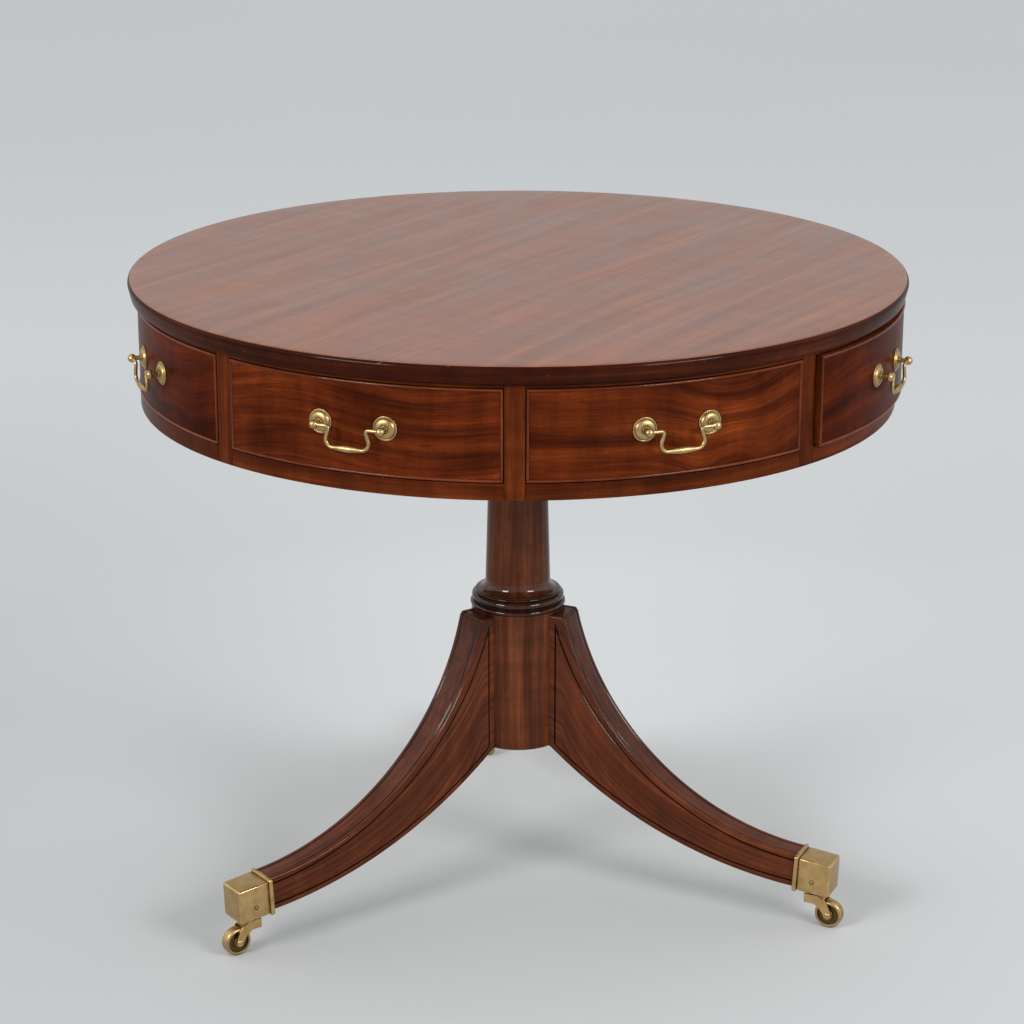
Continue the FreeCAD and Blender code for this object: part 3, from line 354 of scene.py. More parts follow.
def mahogany(
    name, dark, middle, light, shift,
    wave=0.01, streak=90, index=1.1, polish=0.1, figure=0.8, crease=6 * MM, nicks=0.0, gloss=0.1,
):
    """Polished mahogany: cloudy tone, wandering streaks, fine fibre, short dark pores and a cross ripple."""
    shader = Shader(name)

    def layer(vector, along, across, **settings):
        return shader.noise(shader.stretch(vector, along, across, shift), **settings)

    grain = shader.grain()
    drift = layer(grain, along=2.2, across=9, detail=2)
    sideways = shader.add("CombineXYZ", {"Y": shader.span(drift, 0, 1, -wave, wave)}).outputs[0]
    warped = shader.vector("ADD", grain, sideways)[0]
    bands = layer(warped, along=2.4, across=streak, detail=6, roughness=0.62)
    fibre = layer(warped, along=14, across=700, detail=4, roughness=0.7)
    ripple = layer(warped, along=45, across=11, detail=3, roughness=0.6)
    cloud = layer(grain, along=7, across=16, detail=3)
    pores = layer(warped, along=70, across=1500, detail=1)
    mottle = shader.ramp(ripple, (0.3, (0.64, 0.6, 0.56)), (0.7, (1.17, 1.17, 1.17)))
    tone = shader.ramp(cloud, (0.3, (0.52, 0.47, 0.43)), (0.66, (1.2, 1.2, 1.2)))

    colour = shader.ramp(bands, (0.3, dark), (0.5, middle), (0.68, light))
    colour = shader.mix(shader.span(fibre, 0.4, 0.7, to_high=0.45), colour, dark)
    colour = shader.mix(figure * 0.9, colour, mottle, "MULTIPLY")
    colour = shader.mix(figure, colour, tone, "MULTIPLY")
    colour = shader.mix(shader.span(pores, 0.6, 0.72, to_high=0.55), colour, shade(dark, 0.25))
    # Painted shade: darker in hollows and gaps, found by ambient occlusion
    colour = shader.mix(shader.crevice(crease, 0.3, 0.85), shade(dark, 0.15), colour)
    # Painted shade where a piece's share asks for it: the foot of the flare, the legs' root and lower edge;
    # the bottoms of the legs' incised lines are darkened too
    colour = shader.mix(shader.span(shader.dirt(), 0.0, 0.5), colour, shade(dark, 0.12))
    if nicks:
        specks = layer(grain, along=170, across=260, detail=1)
        colour = shader.mix(shader.span(specks, 0.78, 0.82, to_high=nicks), colour, (0.4, 0.26, 0.15))
    rough = shader.span(cloud, 0.3, 0.7, 0.25, 0.37)
    relief = shader.bump(fibre, 0.05, 0.3 * MM)
    shader.finish(Base_Color=colour, Roughness=rough, Normal=relief)
    return shader.finish(IOR=index, Coat_Weight=polish, Coat_Roughness=gloss)


def aged_brass(name, clean, dull, rough):
    """Worn yellow brass: softly mottled, brown in the crevices, and dark where it is tarnished and where
    shade is painted on it.
    """
    shader = Shader(name)
    place = shader.place()
    tarnish_and_shade = shader.dirt()
    cloud = shader.noise(shader.stretch(place, 90, 90), detail=4)
    mottle = shader.noise(shader.stretch(place, 420, 420), detail=3, roughness=0.6)
    colour = shader.ramp(cloud, (0.3, dull), (0.62, clean))
    colour = shader.mix(shader.span(mottle, 0.5, 0.75, to_high=0.25), colour, dull)
    colour = shader.mix(shader.crevice(3 * MM, 0.3, 0.8), shade(dull, 0.22), colour)
    # Darkened by each point's share: tarnish in the hollows of roses, wheels and pins, and painted shade on
    # the toe caps' faces and bosses
    patchy = shader.math("MULTIPLY", tarnish_and_shade, shader.span(mottle, 0.25, 0.6, 1.0, 0.75))
    colour = shader.mix(patchy, colour, shade(dull, 0.16))
    gloss = shader.span(cloud, 0.3, 0.7, rough - 0.03, rough + 0.05)
    gloss = shader.math("ADD", gloss, shader.math("MULTIPLY", tarnish_and_shade, 0.2))
    relief = shader.bump(cloud, 0.03, 0.2 * MM)
    return shader.finish(Base_Color=colour, Metallic=1.0, Roughness=gloss, Normal=relief)


def bare_wood(name, level_axes):
    """Unpolished inner wood in straight grain along the level axes, for boards that keep their CAD form."""
    dark = (0.2, 0.11, 0.05)
    light = (0.42, 0.27, 0.14)
    shader = Shader(name)
    place = shader.place()
    broad = tuple(5 if level else 70 for level in level_axes)
    fine = tuple(30 if level else 800 for level in level_axes)
    bands = shader.noise(shader.vector("MULTIPLY", place, broad)[0], detail=5)
    fibre = shader.noise(shader.vector("MULTIPLY", place, fine)[0], detail=2)
    colour = shader.ramp(bands, (0.3, dark), (0.7, light))
    colour = shader.mix(shader.span(fibre, 0.5, 0.7, to_high=0.4), colour, dark)
    return shader.finish(Base_Color=colour, Roughness=0.7, Normal=shader.bump(fibre, 0.15, 0.3 * MM))


def dark_iron(name):
    """Dull iron of the hidden pivot."""
    shader = Shader(name)
    cloud = shader.noise(shader.stretch(shader.place(), 120, 120), detail=5)
    colour = shader.ramp(cloud, (0.35, (0.05, 0.045, 0.04)), (0.7, (0.14, 0.12, 0.1)))
    relief = shader.bump(cloud, 0.2, 0.4 * MM)
    return shader.finish(Base_Color=colour, Metallic=0.8, Roughness=0.55, Normal=relief)


FIELD_WOOD = mahogany(
    "top_mahogany", (0.15, 0.042, 0.014), (0.225, 0.067, 0.023), (0.3, 0.096, 0.034), (3, 1, 2),
    wave=0.016, streak=55, index=1.45, polish=0.25, figure=0.4,
)
# Much darker than the field: partly the edge's own tone and partly painted shade on its upright face
EDGE_WOOD = mahogany(
    "edge_mahogany", (0.02, 0.003, 0.0005), (0.04, 0.006, 0.001), (0.075, 0.014, 0.002), (5, 1, 4),
    index=1.08, polish=0.12, nicks=0.6,
)
DRUM_WOOD = mahogany(
    "drum_mahogany", (0.03, 0.0045, 0.0008), (0.105, 0.0165, 0.0025), (0.185, 0.036, 0.006), (7, 4, 1),
    polish=0.05, figure=1.0,
)
# A darker copy of the drum wood for two of the fronts: partly their own tone and partly painted shade
SIDE_WOOD = mahogany(
    "side_mahogany", (0.027, 0.0036, 0.0005), (0.062, 0.0084, 0.001), (0.1, 0.016, 0.002), (8, 3, 6),
    streak=60, index=1.08, polish=0.03, figure=0.9,
)
CLOUD_WOOD = mahogany(
    "cloud_mahogany", (0.035, 0.0055, 0.001), (0.105, 0.017, 0.0026), (0.185, 0.036, 0.006), (9, 5, 7),
    streak=75, polish=0.05, figure=1.0,
)
FRAME_WOOD = mahogany(
    "frame_mahogany", (0.035, 0.006, 0.001), (0.085, 0.015, 0.0025), (0.14, 0.03, 0.006), (4, 9, 3),
    polish=0.05,
)
BEAD_WOOD = mahogany(
    "bead_mahogany", (0.07, 0.014, 0.0025), (0.15, 0.03, 0.006), (0.23, 0.052, 0.012), (2, 8, 5),
    polish=0.4, crease=2 * MM,
)
BASE_TONES = ((0.035, 0.008, 0.0025), (0.12, 0.031, 0.01), (0.21, 0.064, 0.023))
BASE_WOOD = mahogany("base_mahogany", *BASE_TONES, (1, 6, 9), index=1.14, polish=0.2)
FLARE_WOOD = mahogany("flare_mahogany", *BASE_TONES, (1, 6, 9), polish=0.75)
# Much darker than the base wood: painted shade for the ring mouldings
SHADED_RING_WOOD = mahogany(
    "shaded_ring_mahogany", (0.012, 0.0024, 0.0006), (0.04, 0.0085, 0.002), (0.07, 0.018, 0.005), (1, 6, 9),
    polish=0.75,
)
LEG_WOOD = mahogany(
    "leg_mahogany", (0.05, 0.0105, 0.0028), (0.104, 0.0235, 0.0066), (0.16, 0.041, 0.0125), (6, 2, 4),
    streak=160, index=1.1, polish=0.3, figure=0.7, gloss=0.13,
)
BRASS = aged_brass("aged_brass", (0.66, 0.44, 0.19), (0.5, 0.32, 0.13), 0.24)
DULL_BRASS = aged_brass("dull_brass", (0.5, 0.35, 0.155), (0.34, 0.23, 0.095), 0.36)
LYING_OAK = bare_wood("lying_oak", (1, 0, 0))
UPRIGHT_OAK = bare_wood("upright_oak", (1, 1, 0))
IRON = dark_iron("pivot_iron")


# Table top


def build_top():
    """Turned disc with a softly rounded upper edge and a slightly tucked lower one."""
    low = (TOP_RADIUS - TOP_EDGE_TUCK - TOP_LOWER_CORNER, TOP_UNDER + TOP_LOWER_CORNER)
    rim_centre = (TOP_RADIUS - TOP_EDGE_DROP, TOP_HIGH.z - TOP_EDGE_DROP)
    rim = arc(rim_centre, TOP_EDGE_DROP, 0, 90, RIM_STEPS)
    edge = [(0, TOP_UNDER), (DRUM_RADIUS / 2, TOP_UNDER)]
    edge += arc(low, TOP_LOWER_CORNER, -90, -15, 6)
    edge += rim[: RIM_SPLIT + 1]
    field = rim[RIM_SPLIT:]
    field += [(TOP_RADIUS * share, TOP_HIGH.z) for share in (0.95, 0.8, 0.6, 0.4, 0.2, 0)]

    rows, _ = lathe_rows(edge, TOP_SEGMENTS)
    around = np.abs(np.arctan2(rows[..., 1], rows[..., 0])) * TOP_RADIUS
    grain = np.stack([around, rows[..., 2], rows[..., 2]], -1)
    top = Grid().add(rows, grain).piece("table_top_edge", EDGE_WOOD)
    settle(top, "drum", "top_mahogany", "table_top")

    rows, _ = lathe_rows(field, TOP_SEGMENTS)
    cosine = math.cos(TOP_GRAIN_TURN)
    sine = math.sin(TOP_GRAIN_TURN)
    along = rows[..., 0] * cosine + rows[..., 1] * sine
    across = rows[..., 1] * cosine - rows[..., 0] * sine
    grain = np.stack([along, across, rows[..., 2]], -1)
    top = Grid().add(rows, grain).piece("table_top_field", FIELD_WOOD)
    settle(top, "drum", "top_mahogany", "table_top")


# Drum

# Arches of the false fronts' figure: where they stand, how far they spread and how strong they are
SWIRL_SIDE = 75 * MM
SWIRL_BELOW = 65 * MM
SWIRL_RING = 50 * MM
SWIRL_SPREAD = 55 * MM
SWIRL_STRENGTH = 0.9
SWIRL_SQUASH = 0.9
SWIRL_SCALE = 0.8

# Sweep and wave of the drawers' figure
WAVE_SWEEP = 0.16
WAVE_HEIGHT = 8 * MM
WAVE_RATE = 21

# Steps in the grain place from one piece of wood to the next
RAIL_SHIFT = 0.37
STILE_SHIFT = (0.53, 0.21)
BEAD_SHIFT = 0.31
DRAWER_SHIFT = 1.7
FALSE_SHIFT = 1.3
FALSE_START = 9.2


def end_angle(radius, inset):
    """How far from its middle a section reaches at a radius, leaving inset to the stile's middle."""
    return SECTION_HALF - math.asin(inset / radius)


def on_drum(radius, angle, height):
    """The point at a radius and height, its angle counted from the middle of the front."""
    return (radius * math.sin(angle), -radius * math.cos(angle), height)


def straight_figure(along, up):
    return along, up


def swirl_figure(along, up):
    """Arches to the right of the handle, fading into open cloudy grain."""
    side = along - SWIRL_SIDE
    ring = math.hypot(side * SWIRL_SQUASH, up + SWIRL_BELOW)
    share = SWIRL_STRENGTH * math.exp(-((side / SWIRL_SPREAD) ** 2))
    return along * SWIRL_SCALE, up * SWIRL_SCALE * (1 - share) + (ring - SWIRL_RING) * share


def wavy_figure(along, up):
    """Nearly level grain that sweeps down towards one end."""
    return along, up + WAVE_SWEEP * along**2 + WAVE_HEIGHT * math.sin(along * WAVE_RATE)


def curved_bar(grid, inner, outer, low, high, inset, seed=0.0, figure=straight_figure):
    """A bar bent to the drum, its ends running beside the stiles, grain along its length."""
    steps = 64
    middle = (low + high) / 2
    corners = [(inner, low), (outer, low), (outer, high), (inner, high)]
    fine = np.linspace(0, 1, 9)[:-1]
    coarse = fine[::4]
    loop = []
    for (r0, z0), (r1, z1) in zip(corners, corners[1:] + corners[:1]):
        parts = fine if abs(z1 - z0) > abs(r1 - r0) else coarse
        loop += [(r0 + (r1 - r0) * part, z0 + (z1 - z0) * part) for part in parts]
    rows = []
    grain = []
    for share in np.linspace(-1, 1, steps):
        rows.append([on_drum(radius, share * end_angle(radius, inset), height) for radius, height in loop])
        spots = []
        for radius, height in loop:
            along, up = figure(outer * share * SECTION_HALF, height - middle)
            spots.append((along + seed, up + seed, radius))
        grain.append(spots)
    grid.add(rows, grain, ends=True)


def build_rails():
    """Curved rails under and over the fronts, one of each to a section."""
    inset = STILE_HALF + JOINT_GAP
    inner = DRUM_RADIUS - STILE_DEPTH
    for name, low, high, node in (
        ("lower_rail", DRUM_BOTTOM, RAIL_TOP, "lower_rails"),
        ("upper_rail", UPPER_RAIL_LOW, TOP_UNDER, "upper_rails"),
    ):
        for index in range(SECTIONS):
            grid = Grid()
            curved_bar(grid, inner, DRUM_RADIUS, low, high, inset, seed=index * RAIL_SHIFT)
            rail = grid.piece(f"{name}_{index}", FRAME_WOOD, turned(index * 2 * SECTION_HALF))
            soften(rail, RAIL_ARRIS)
            settle(rail, "drum", "drum_mahogany", node)


def build_stiles():
    """Upright posts between the sections, grain upright."""
    across = np.linspace(-STILE_HALF, STILE_HALF, 9)
    outer = [(x, -math.sqrt(DRUM_RADIUS**2 - x**2)) for x in across]
    inner = [(STILE_HALF, STILE_DEPTH - DRUM_RADIUS), (-STILE_HALF, STILE_DEPTH - DRUM_RADIUS)]
    loop = outer + inner
    for index in range(SECTIONS):
        along, aside = (index * step for step in STILE_SHIFT)
        rows = []
        grain = []
        for height in np.linspace(DRUM_BOTTOM, TOP_UNDER, 12):
            rows.append([(x, y, height) for x, y in loop])
            grain.append([(height + along, x + aside, y) for x, y in loop])
        place = turned((2 * index + 1) * SECTION_HALF)
        stile = Grid().add(rows, grain, ends=True).piece(f"stile_{index}", FRAME_WOOD, place)
        soften(stile, STILE_ARRIS)
        settle(stile, "drum", "drum_mahogany", "stiles")


def build_front(name, place, body, node, seed, figure, wood):
    """A curved veneered front: a full-size back and a face set in by the beads."""
    rebate = DRUM_RADIUS - BEAD_DEPTH
    inset = STILE_HALF + FRONT_GAP
    grid = Grid()
    curved_bar(grid, DRUM_RADIUS - FRONT_DEPTH, rebate, FRONT_LOW, FRONT_HIGH, inset, seed=seed)
    low = FRONT_LOW + BEAD_WIDTH
    high = FRONT_HIGH - BEAD_WIDTH
    curved_bar(grid, rebate, DRUM_RADIUS, low, high, inset + BEAD_WIDTH, seed=seed, figure=figure)
    front = grid.piece(name, wood, place)
    settle(front, body, "drum_mahogany", node)


def build_beads(name, place, body, node):
    """A cock bead mitred round a front, its outer face rounded."""
    level_steps = 40
    upright_steps = 6
    half = BEAD_WIDTH / 2
    inner = DRUM_RADIUS - BEAD_DEPTH + JOINT_GAP
    crown = BEAD_REACH - half
    section = [(0.0, inner)]
    section += [(half + y, crown + r) for r, y in arc((0, 0), half * 0.97, -90, 90, 9)]
    section += [(BEAD_WIDTH, inner)]
    rows = []
    grain = []
    for side in range(4):
        level = side % 2 == 0
        for share in np.linspace(-1, 1, level_steps if level else upright_steps)[:-1]:
            row = []
            spots = []
            for offset, radius in section:
                reach = end_angle(radius, STILE_HALF + FRONT_GAP + offset)
                low = FRONT_LOW + offset
                high = FRONT_HIGH - offset
                middle = (low + high) / 2
                span = (high - low) / 2
                angle, height = (
                    (share * reach, low),
                    (reach, middle + share * span),
                    (-share * reach, high),
                    (-reach, middle - share * span),
                )[side]
                row.append(on_drum(radius, angle, height))
                along = DRUM_RADIUS * angle if level else height
                spots.append((along, side * BEAD_SHIFT + offset, radius))
            rows.append(row)
            grain.append(spots)
    bead = Grid().add(rows, grain, wrap_rows=True).piece(name, BEAD_WOOD, place)
    settle(bead, body, "drum_mahogany", node)


# Handles


def rose_tarnish(radius, reach):
    """Dark in the quirk inside a rose's rim and where its post meets it."""
    out = reach - DRUM_RADIUS
    in_quirk = abs(radius - ROSE_QUIRK) < 0.1 * MM
    at_post = radius < POST_FOOT and 1 * MM < out < 6 * MM
    return 0.45 if in_quirk or at_post else 0.0


def rose_profile():
    """Profile of a rose, in millimetres from its post's axis and from the front."""
    rim = [(1.5, 0), (13, 0), (13, 0.7)] + arc((12.4, 0.7), 0.6, 20, 90, 4) + [(11.3, 1.3)]
    quirk = [(11.1, 1.15)]
    dome = [(4.6 + 6.2 * x, 1.4 + 3.1 * y) for x, y in arc((0, 0), 1, 0, 90, 10)]
    collar = [(4.3, 4.3)] + arc((3.3, 4.9), 0.8, -20, 100, 6) + [(2.7, 5.6)]
    return rim + quirk + dome + collar


def build_mounts(name, place, body, node):
    """Roses with stepped rims and domed middles, and the ball-ended posts that carry the bail."""
    rose = [(radius * MM, DRUM_RADIUS + out * MM) for radius, out in rose_profile()]
    throat = math.degrees(math.asin(POST_NECK / BALL_RADIUS))
    post = [(0, DRUM_RADIUS), (POST_NECK, DRUM_RADIUS)]
    post += arc((0, BALL_REACH), BALL_RADIUS, throat - 90, 90, 18)
    grid = Grid()
    for side in (-1, 1):
        angle = side * HANDLE_ANGLE
        axis = axis_frame((0, 0, HANDLE_HEIGHT), on_drum(1, angle, 0))
        for profile, segments in ((rose, 40), (post, 32)):
            rows, dirt = brass_rows(profile, segments, rose_tarnish)
            grid.add(moved(rows, axis), dirt=dirt)
    settle(grid.piece(name, DULL_BRASS, place, sharp=50), body, "aged_brass", node)


def bail_path(steps=10):
    """Half of the bail's middle line in its own plane, from its pin to the middle of its bar."""
    pin = (HANDLE_HALF - BALL_RADIUS + BAIL_BITE, 0.0)
    corners = [pin, (BAIL_NECK, 0.0), (BAIL_BELLY, -BAIL_DROP), (0.0, -BAIL_DROP)]
    path = [Vector(pin)]
    for before, corner, after, radius in zip(corners, corners[1:], corners[2:], BAIL_BENDS):
        corner = Vector(corner)
        back = (Vector(before) - corner).normalized()
        ahead = (Vector(after) - corner).normalized()
        half = back.angle(ahead) / 2
        centre = corner + (back + ahead).normalized() * (radius / math.sin(half))
        first = corner + back * (radius / math.tan(half)) - centre
        turn = back.cross(ahead)
        sweep = (math.pi - 2 * half) * (-1 if turn > 0 else 1)
        for angle in np.linspace(0, sweep, steps):
            path.append(centre + Matrix.Rotation(angle, 2) @ first)
    bar_start = path[-1].x
    path += [Vector((bar_start * share, -BAIL_DROP)) for share in (0.8, 0.6, 0.4, 0.2, 0.0)]
    return path, bar_start


def build_bail(name, place, body, node):
    """A swan-neck bail: bent wire with a swollen bar, its ends in the balls of its posts."""
    half, bar_start = bail_path()
    path = half + [Vector((-point.x, point.y)) for point in reversed(half[:-1])]
    rows = []
    for index, point in enumerate(path):
        before = path[max(index - 1, 0)]
        after = path[min(index + 1, len(path) - 1)]
        forward = (after - before).normalized()
        side = Vector((-forward.y, forward.x))
        radius = BAIL_WIRE
        if point.y < -0.9 * BAIL_DROP and abs(point.x) < bar_start:
            radius += (BAIL_SWELL - BAIL_WIRE) * math.cos(point.x / bar_start * QUARTER) ** 1.2
        row = []
        for angle in np.linspace(0, 2 * math.pi, BAIL_SIDES, endpoint=False):
            spot = point + side * (radius * math.cos(angle))
            row.append((spot.x, -BAIL_LINE + radius * math.sin(angle), HANDLE_HEIGHT + spot.y))
        rows.append(row)
    bail = Grid().add(rows, ends=True).piece(name, DULL_BRASS, place, sharp=60)
    settle(bail, body, "aged_brass", node)


def build_drum():
    build_top()
    build_rails()
    build_stiles()
    for name, index in DRAWERS.items():
        place = turned(index * QUARTER, AJAR.get(name, 0.0))
        body = f"drawer_{name}"
        wood = SIDE_WOOD if name == "right" else DRUM_WOOD
        seed = index * DRAWER_SHIFT
        build_front(f"front_{name}", place, body, f"drawer_{name}_front", seed, wavy_figure, wood)
        build_beads(f"bead_{name}", place, body, f"drawer_{name}_beads")
        build_mounts(f"handle_mounts_{name}", place, body, f"drawer_{name}_handle_mounts")
        build_bail(f"bail_{name}", place, f"drawer_{name}_bail", f"drawer_{name}_bail")
    for name, index in FALSE_FRONTS.items():
        place = turned((index + 0.5) * QUARTER)
        wood = SIDE_WOOD if name == "front_left" else CLOUD_WOOD
        seed = index * FALSE_SHIFT + FALSE_START
        build_front(f"false_front_{name}", place, "drum", "false_fronts", seed, swirl_figure, wood)
        build_beads(f"false_bead_{name}", place, "drum", "false_front_beads")
        build_mounts(f"false_mounts_{name}", place, "drum", "false_handle_mounts")
        build_bail(f"false_bail_{name}", place, f"false_{name}_bail", f"false_{name}_bail")


# Pillar


def ring_mouldings():
    """Profile of the turned rings and the cove, in millimetres from the pillar's axis and the hub's top."""
    lower_bead = arc((53.1, 2.9), 2.9, -85, 85, 10)
    lower_fillet = [(51.6, 6.0), (51.6, 6.8)]
    ovolo = arc((49.6, 11.3), 4.6, -75, 80, 14)
    quirk = [(49.0, 16.1)]
    upper_bead = arc((49.1, 17.3), 1.2, -75, 85, 6)
    upper_fillet = [(47.7, 18.6), (47.5, 19.4)]
    cove = [(47.5 - 9.5 * y, 19.5 + 12 * (1 - x)) for x, y in arc((0, 0), 1, 0, 90, COVE_STEPS)]
    return lower_bead + lower_fillet + ovolo + quirk + upper_bead + upper_fillet + cove


def build_pillar():
    """Turned pillar: tapered shaft, flared foot, ring mouldings and plain lower cylinder."""
    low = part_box("pillar")[0].z
    block_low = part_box("bearing_block")[0].z
    profile = [(0, low), (HUB_RADIUS - HUB_CORNER, low), (HUB_RADIUS, low + HUB_CORNER)]
    profile += [(HUB_RADIUS, low + (HUB_TOP - low) * share) for share in PILLAR_SHARES]
    rings = len(profile) - 1
    profile += [(radius * MM, HUB_TOP + rise * MM) for radius, rise in ring_mouldings()]
    shaft = len(profile) - 1
    flare = shaft - (COVE_STEPS - 1)
    foot_radius, foot = profile[shaft]
    for share in PILLAR_SHARES:
        profile.append((foot_radius + (SHAFT_TOP - foot_radius) * share, foot + (block_low - foot) * share))
    profile += [(0, block_low)]
    # The rings take the shaded wood, and the flare is painted darker towards its foot as painted shade
    for name, start, end, wood, shadow in (
        ("hub", 0, rings, BASE_WOOD, 0.0),
        ("rings", rings, flare, SHADED_RING_WOOD, 0.0),
        ("flare", flare, shaft, FLARE_WOOD, COVE_SHADE),
        ("shaft", shaft, len(profile) - 1, BASE_WOOD, 0.0),
    ):
        rows, grain = lathe_rows(profile[start : end + 1], PILLAR_SEGMENTS)
        dirt = np.outer(np.linspace(shadow, 0, len(rows)), np.ones(PILLAR_SEGMENTS))
        pillar = Grid().add(rows, grain, dirt).piece(f"pillar_{name}", wood)
        settle(pillar, "pedestal", "base_mahogany", "pillar")


# Legs, drawn along +X from the pillar's axis; u is the distance from it

HEEL = 51 * MM
LEG_TOP_REACH = 67.5 * MM
LEG_REACH = 399 * MM
LEG_ROOT_HALF = 22 * MM
LEG_FOOT_HALF = 16.5 * MM
LEG_FOOT_TOP = 85.2 * MM
LEG_FOOT_BOTTOM = 49.4 * MM
CAP_START = 355.2 * MM
CAP_LEAN = 2.6 * MM
TOE_LEAN = 1.5 * MM
CAP_SLOPE = math.tan(math.radians(5.5))
FOOT_STEP = 4.5 * MM
FOOT_CORNER = (CAP_START + CAP_LEAN, LEG_FOOT_TOP + FOOT_STEP)
FOOT_STOP = FOOT_CORNER[0] + 1.2 * MM
FOOT_EDGE = 0.01 * MM
UPPER_ARC = arc_circle((LEG_TOP_REACH, LEG_TOP), FOOT_CORNER, 322.5 * MM)
LOWER_ARC = arc_circle((HEEL, HUB_BOTTOM), (CAP_START, LEG_FOOT_BOTTOM), 528 * MM)
SHELF_ROUND = 3 * MM
CORNER = 2.6 * MM
LOWER_CORNER = 0.4 * CORNER
TOP_HOLLOW = 0.3 * MM

# Incised lines of the border and of the upper face
LINE_DEPTH = 1.5 * MM
LINE_HALF = 1.15 * MM
ROOT_LINE = 57.5 * MM
LOWER_LINE = 7 * MM
TOP_LINE = 6.5 * MM
LINE_TIP = (ROOT_LINE, HUB_TOP - 15 * MM)
LINE_FOOT = (CAP_START + 3 * MM, FOOT_CORNER[1] - 7.5 * MM)
LINE_ARC = arc_circle(LINE_TIP, LINE_FOOT, 347 * MM)
LINE_MOST_STEEP = 4

# Painted shade, darkest at the root under the drum and on the lower edge
ROOT_SHADE = 0.22
ROOT_SHADE_LENGTH = 110 * MM
LEG_GRAIN_SCALE = 1.1


def leg_upper(u):
    """Height of the leg's upper curve, and of the foot inside the toe cap."""
    if u > FOOT_STOP:
        return LEG_FOOT_TOP - (u - FOOT_CORNER[0]) * CAP_SLOPE
    return arc_height(u, UPPER_ARC)


def leg_lower(u):
    """Height of the leg's lower curve, and of the foot inside the toe cap."""
    if u >= CAP_START:
        return LEG_FOOT_BOTTOM - (u - CAP_START) * CAP_SLOPE
    return arc_height(u, LOWER_ARC)


def leg_half(u):
    """Half of the leg's width, tapering to the foot."""
    share = min(max((u - HUB_RADIUS) / (CAP_START - HUB_RADIUS), 0), 1)
    return LEG_ROOT_HALF + (LEG_FOOT_HALF - LEG_ROOT_HALF) * share


def upper_line(u):
    """Height of the incised line below the upper edge; it starts in a tip on the root line."""
    return arc_height(max(u, ROOT_LINE), LINE_ARC)


def lower_line(u):
    """Height of the incised line above the lower edge."""
    return arc_height(max(u, ROOT_LINE), LOWER_ARC, -LOWER_LINE)


def leg_surface(u):
    """Height of the leg's upper face: a short shelf at the pillar, rounded into the curve."""
    start = LEG_TOP_REACH - SHELF_ROUND
    if u <= start:
        return LEG_TOP
    if u <= LEG_TOP_REACH:
        return LEG_TOP - SHELF_ROUND + math.sqrt(max(SHELF_ROUND**2 - (u - start) ** 2, 0.0))
    return min(leg_upper(u), LEG_TOP - SHELF_ROUND)


def steep(line, u):
    """How much taller than wide a line of even width is where it runs at a slope."""
    step = 0.5 * MM
    slope = (line(u + step) - line(u)) / step
    return math.hypot(1, slope)


def leg_stations():
    """Distances of the leg's sections, close together at its root, its border and its shelf."""
    roots = [47 * MM, 50 * MM, 53 * MM, 55.5 * MM]
    line = [ROOT_LINE - LINE_HALF, ROOT_LINE, ROOT_LINE + LINE_HALF]
    before_shelf = list(np.linspace(59, 64, 5) * MM)
    shelf = [LEG_TOP_REACH - SHELF_ROUND * share for share in (1, 0.7, 0.4, 0.15, 0)]
    bend = list(np.linspace(68.2 * MM, 90 * MM, 14))
    sweep = list(np.linspace(93 * MM, FOOT_STOP, 64))
    foot = [FOOT_STOP + FOOT_EDGE, LEG_REACH - TOE_LEAN]
    return roots + line + before_shelf + shelf + bend + sweep + foot


def leg_section(u, top, bottom):
    """One side of a section from its lower to its upper middle: distance across, height and share of
    darkening, as painted shade at the root and on the lower edge and full in the bottoms of the incised
    lines.
    """
    half = leg_half(u)
    high = upper_line(u)
    low = lower_line(u)
    cut = 1.0 if u >= ROOT_LINE - TOLERANCE else 0.0
    across = 1.0 if abs(u - ROOT_LINE) < TOLERANCE else 0.0
    groove = half - LINE_DEPTH * cut
    face = half - LINE_DEPTH * across
    tall = LINE_HALF * min(steep(upper_line, u), LINE_MOST_STEEP)
    # Painted shade on the upper corner and face, strongest at the root and fading out along the leg
    painted_shade = ROOT_SHADE * min(max(1 - (u - ROOT_LINE) / ROOT_SHADE_LENGTH, 0), 1)

    # Painted shade on the lower edge; the incised lines are darkened in their bottoms
    section = [(half - LOWER_CORNER, bottom, ROOT_SHADE), (half, bottom + LOWER_CORNER, 0.5 * ROOT_SHADE)]
    section += [(half, low - LINE_HALF, 0), (groove, low, cut), (face, low + LINE_HALF, across)]
    section += [(face, low + (high - low) * share, across) for share in (0.2, 0.4, 0.6, 0.8)]
    section += [(face, high - tall, across), (groove, high, cut), (half, high + tall, 0.5 * painted_shade)]
    section += [(half, top - CORNER, 0.7 * painted_shade)]
    for angle in np.radians((25, 50, 70)):
        inward = CORNER * (1 - math.cos(angle))
        section.append((half - inward, top - CORNER * (1 - math.sin(angle)), painted_shade))
    section += [(half - CORNER, top, painted_shade), (half - TOP_LINE + LINE_HALF, top, painted_shade)]
    section += [(half - TOP_LINE, top - LINE_DEPTH, 1)]
    section += [(half - TOP_LINE - LINE_HALF, top - TOP_HOLLOW, painted_shade), (half * 0.3, top - TOP_HOLLOW, painted_shade)]
    return section


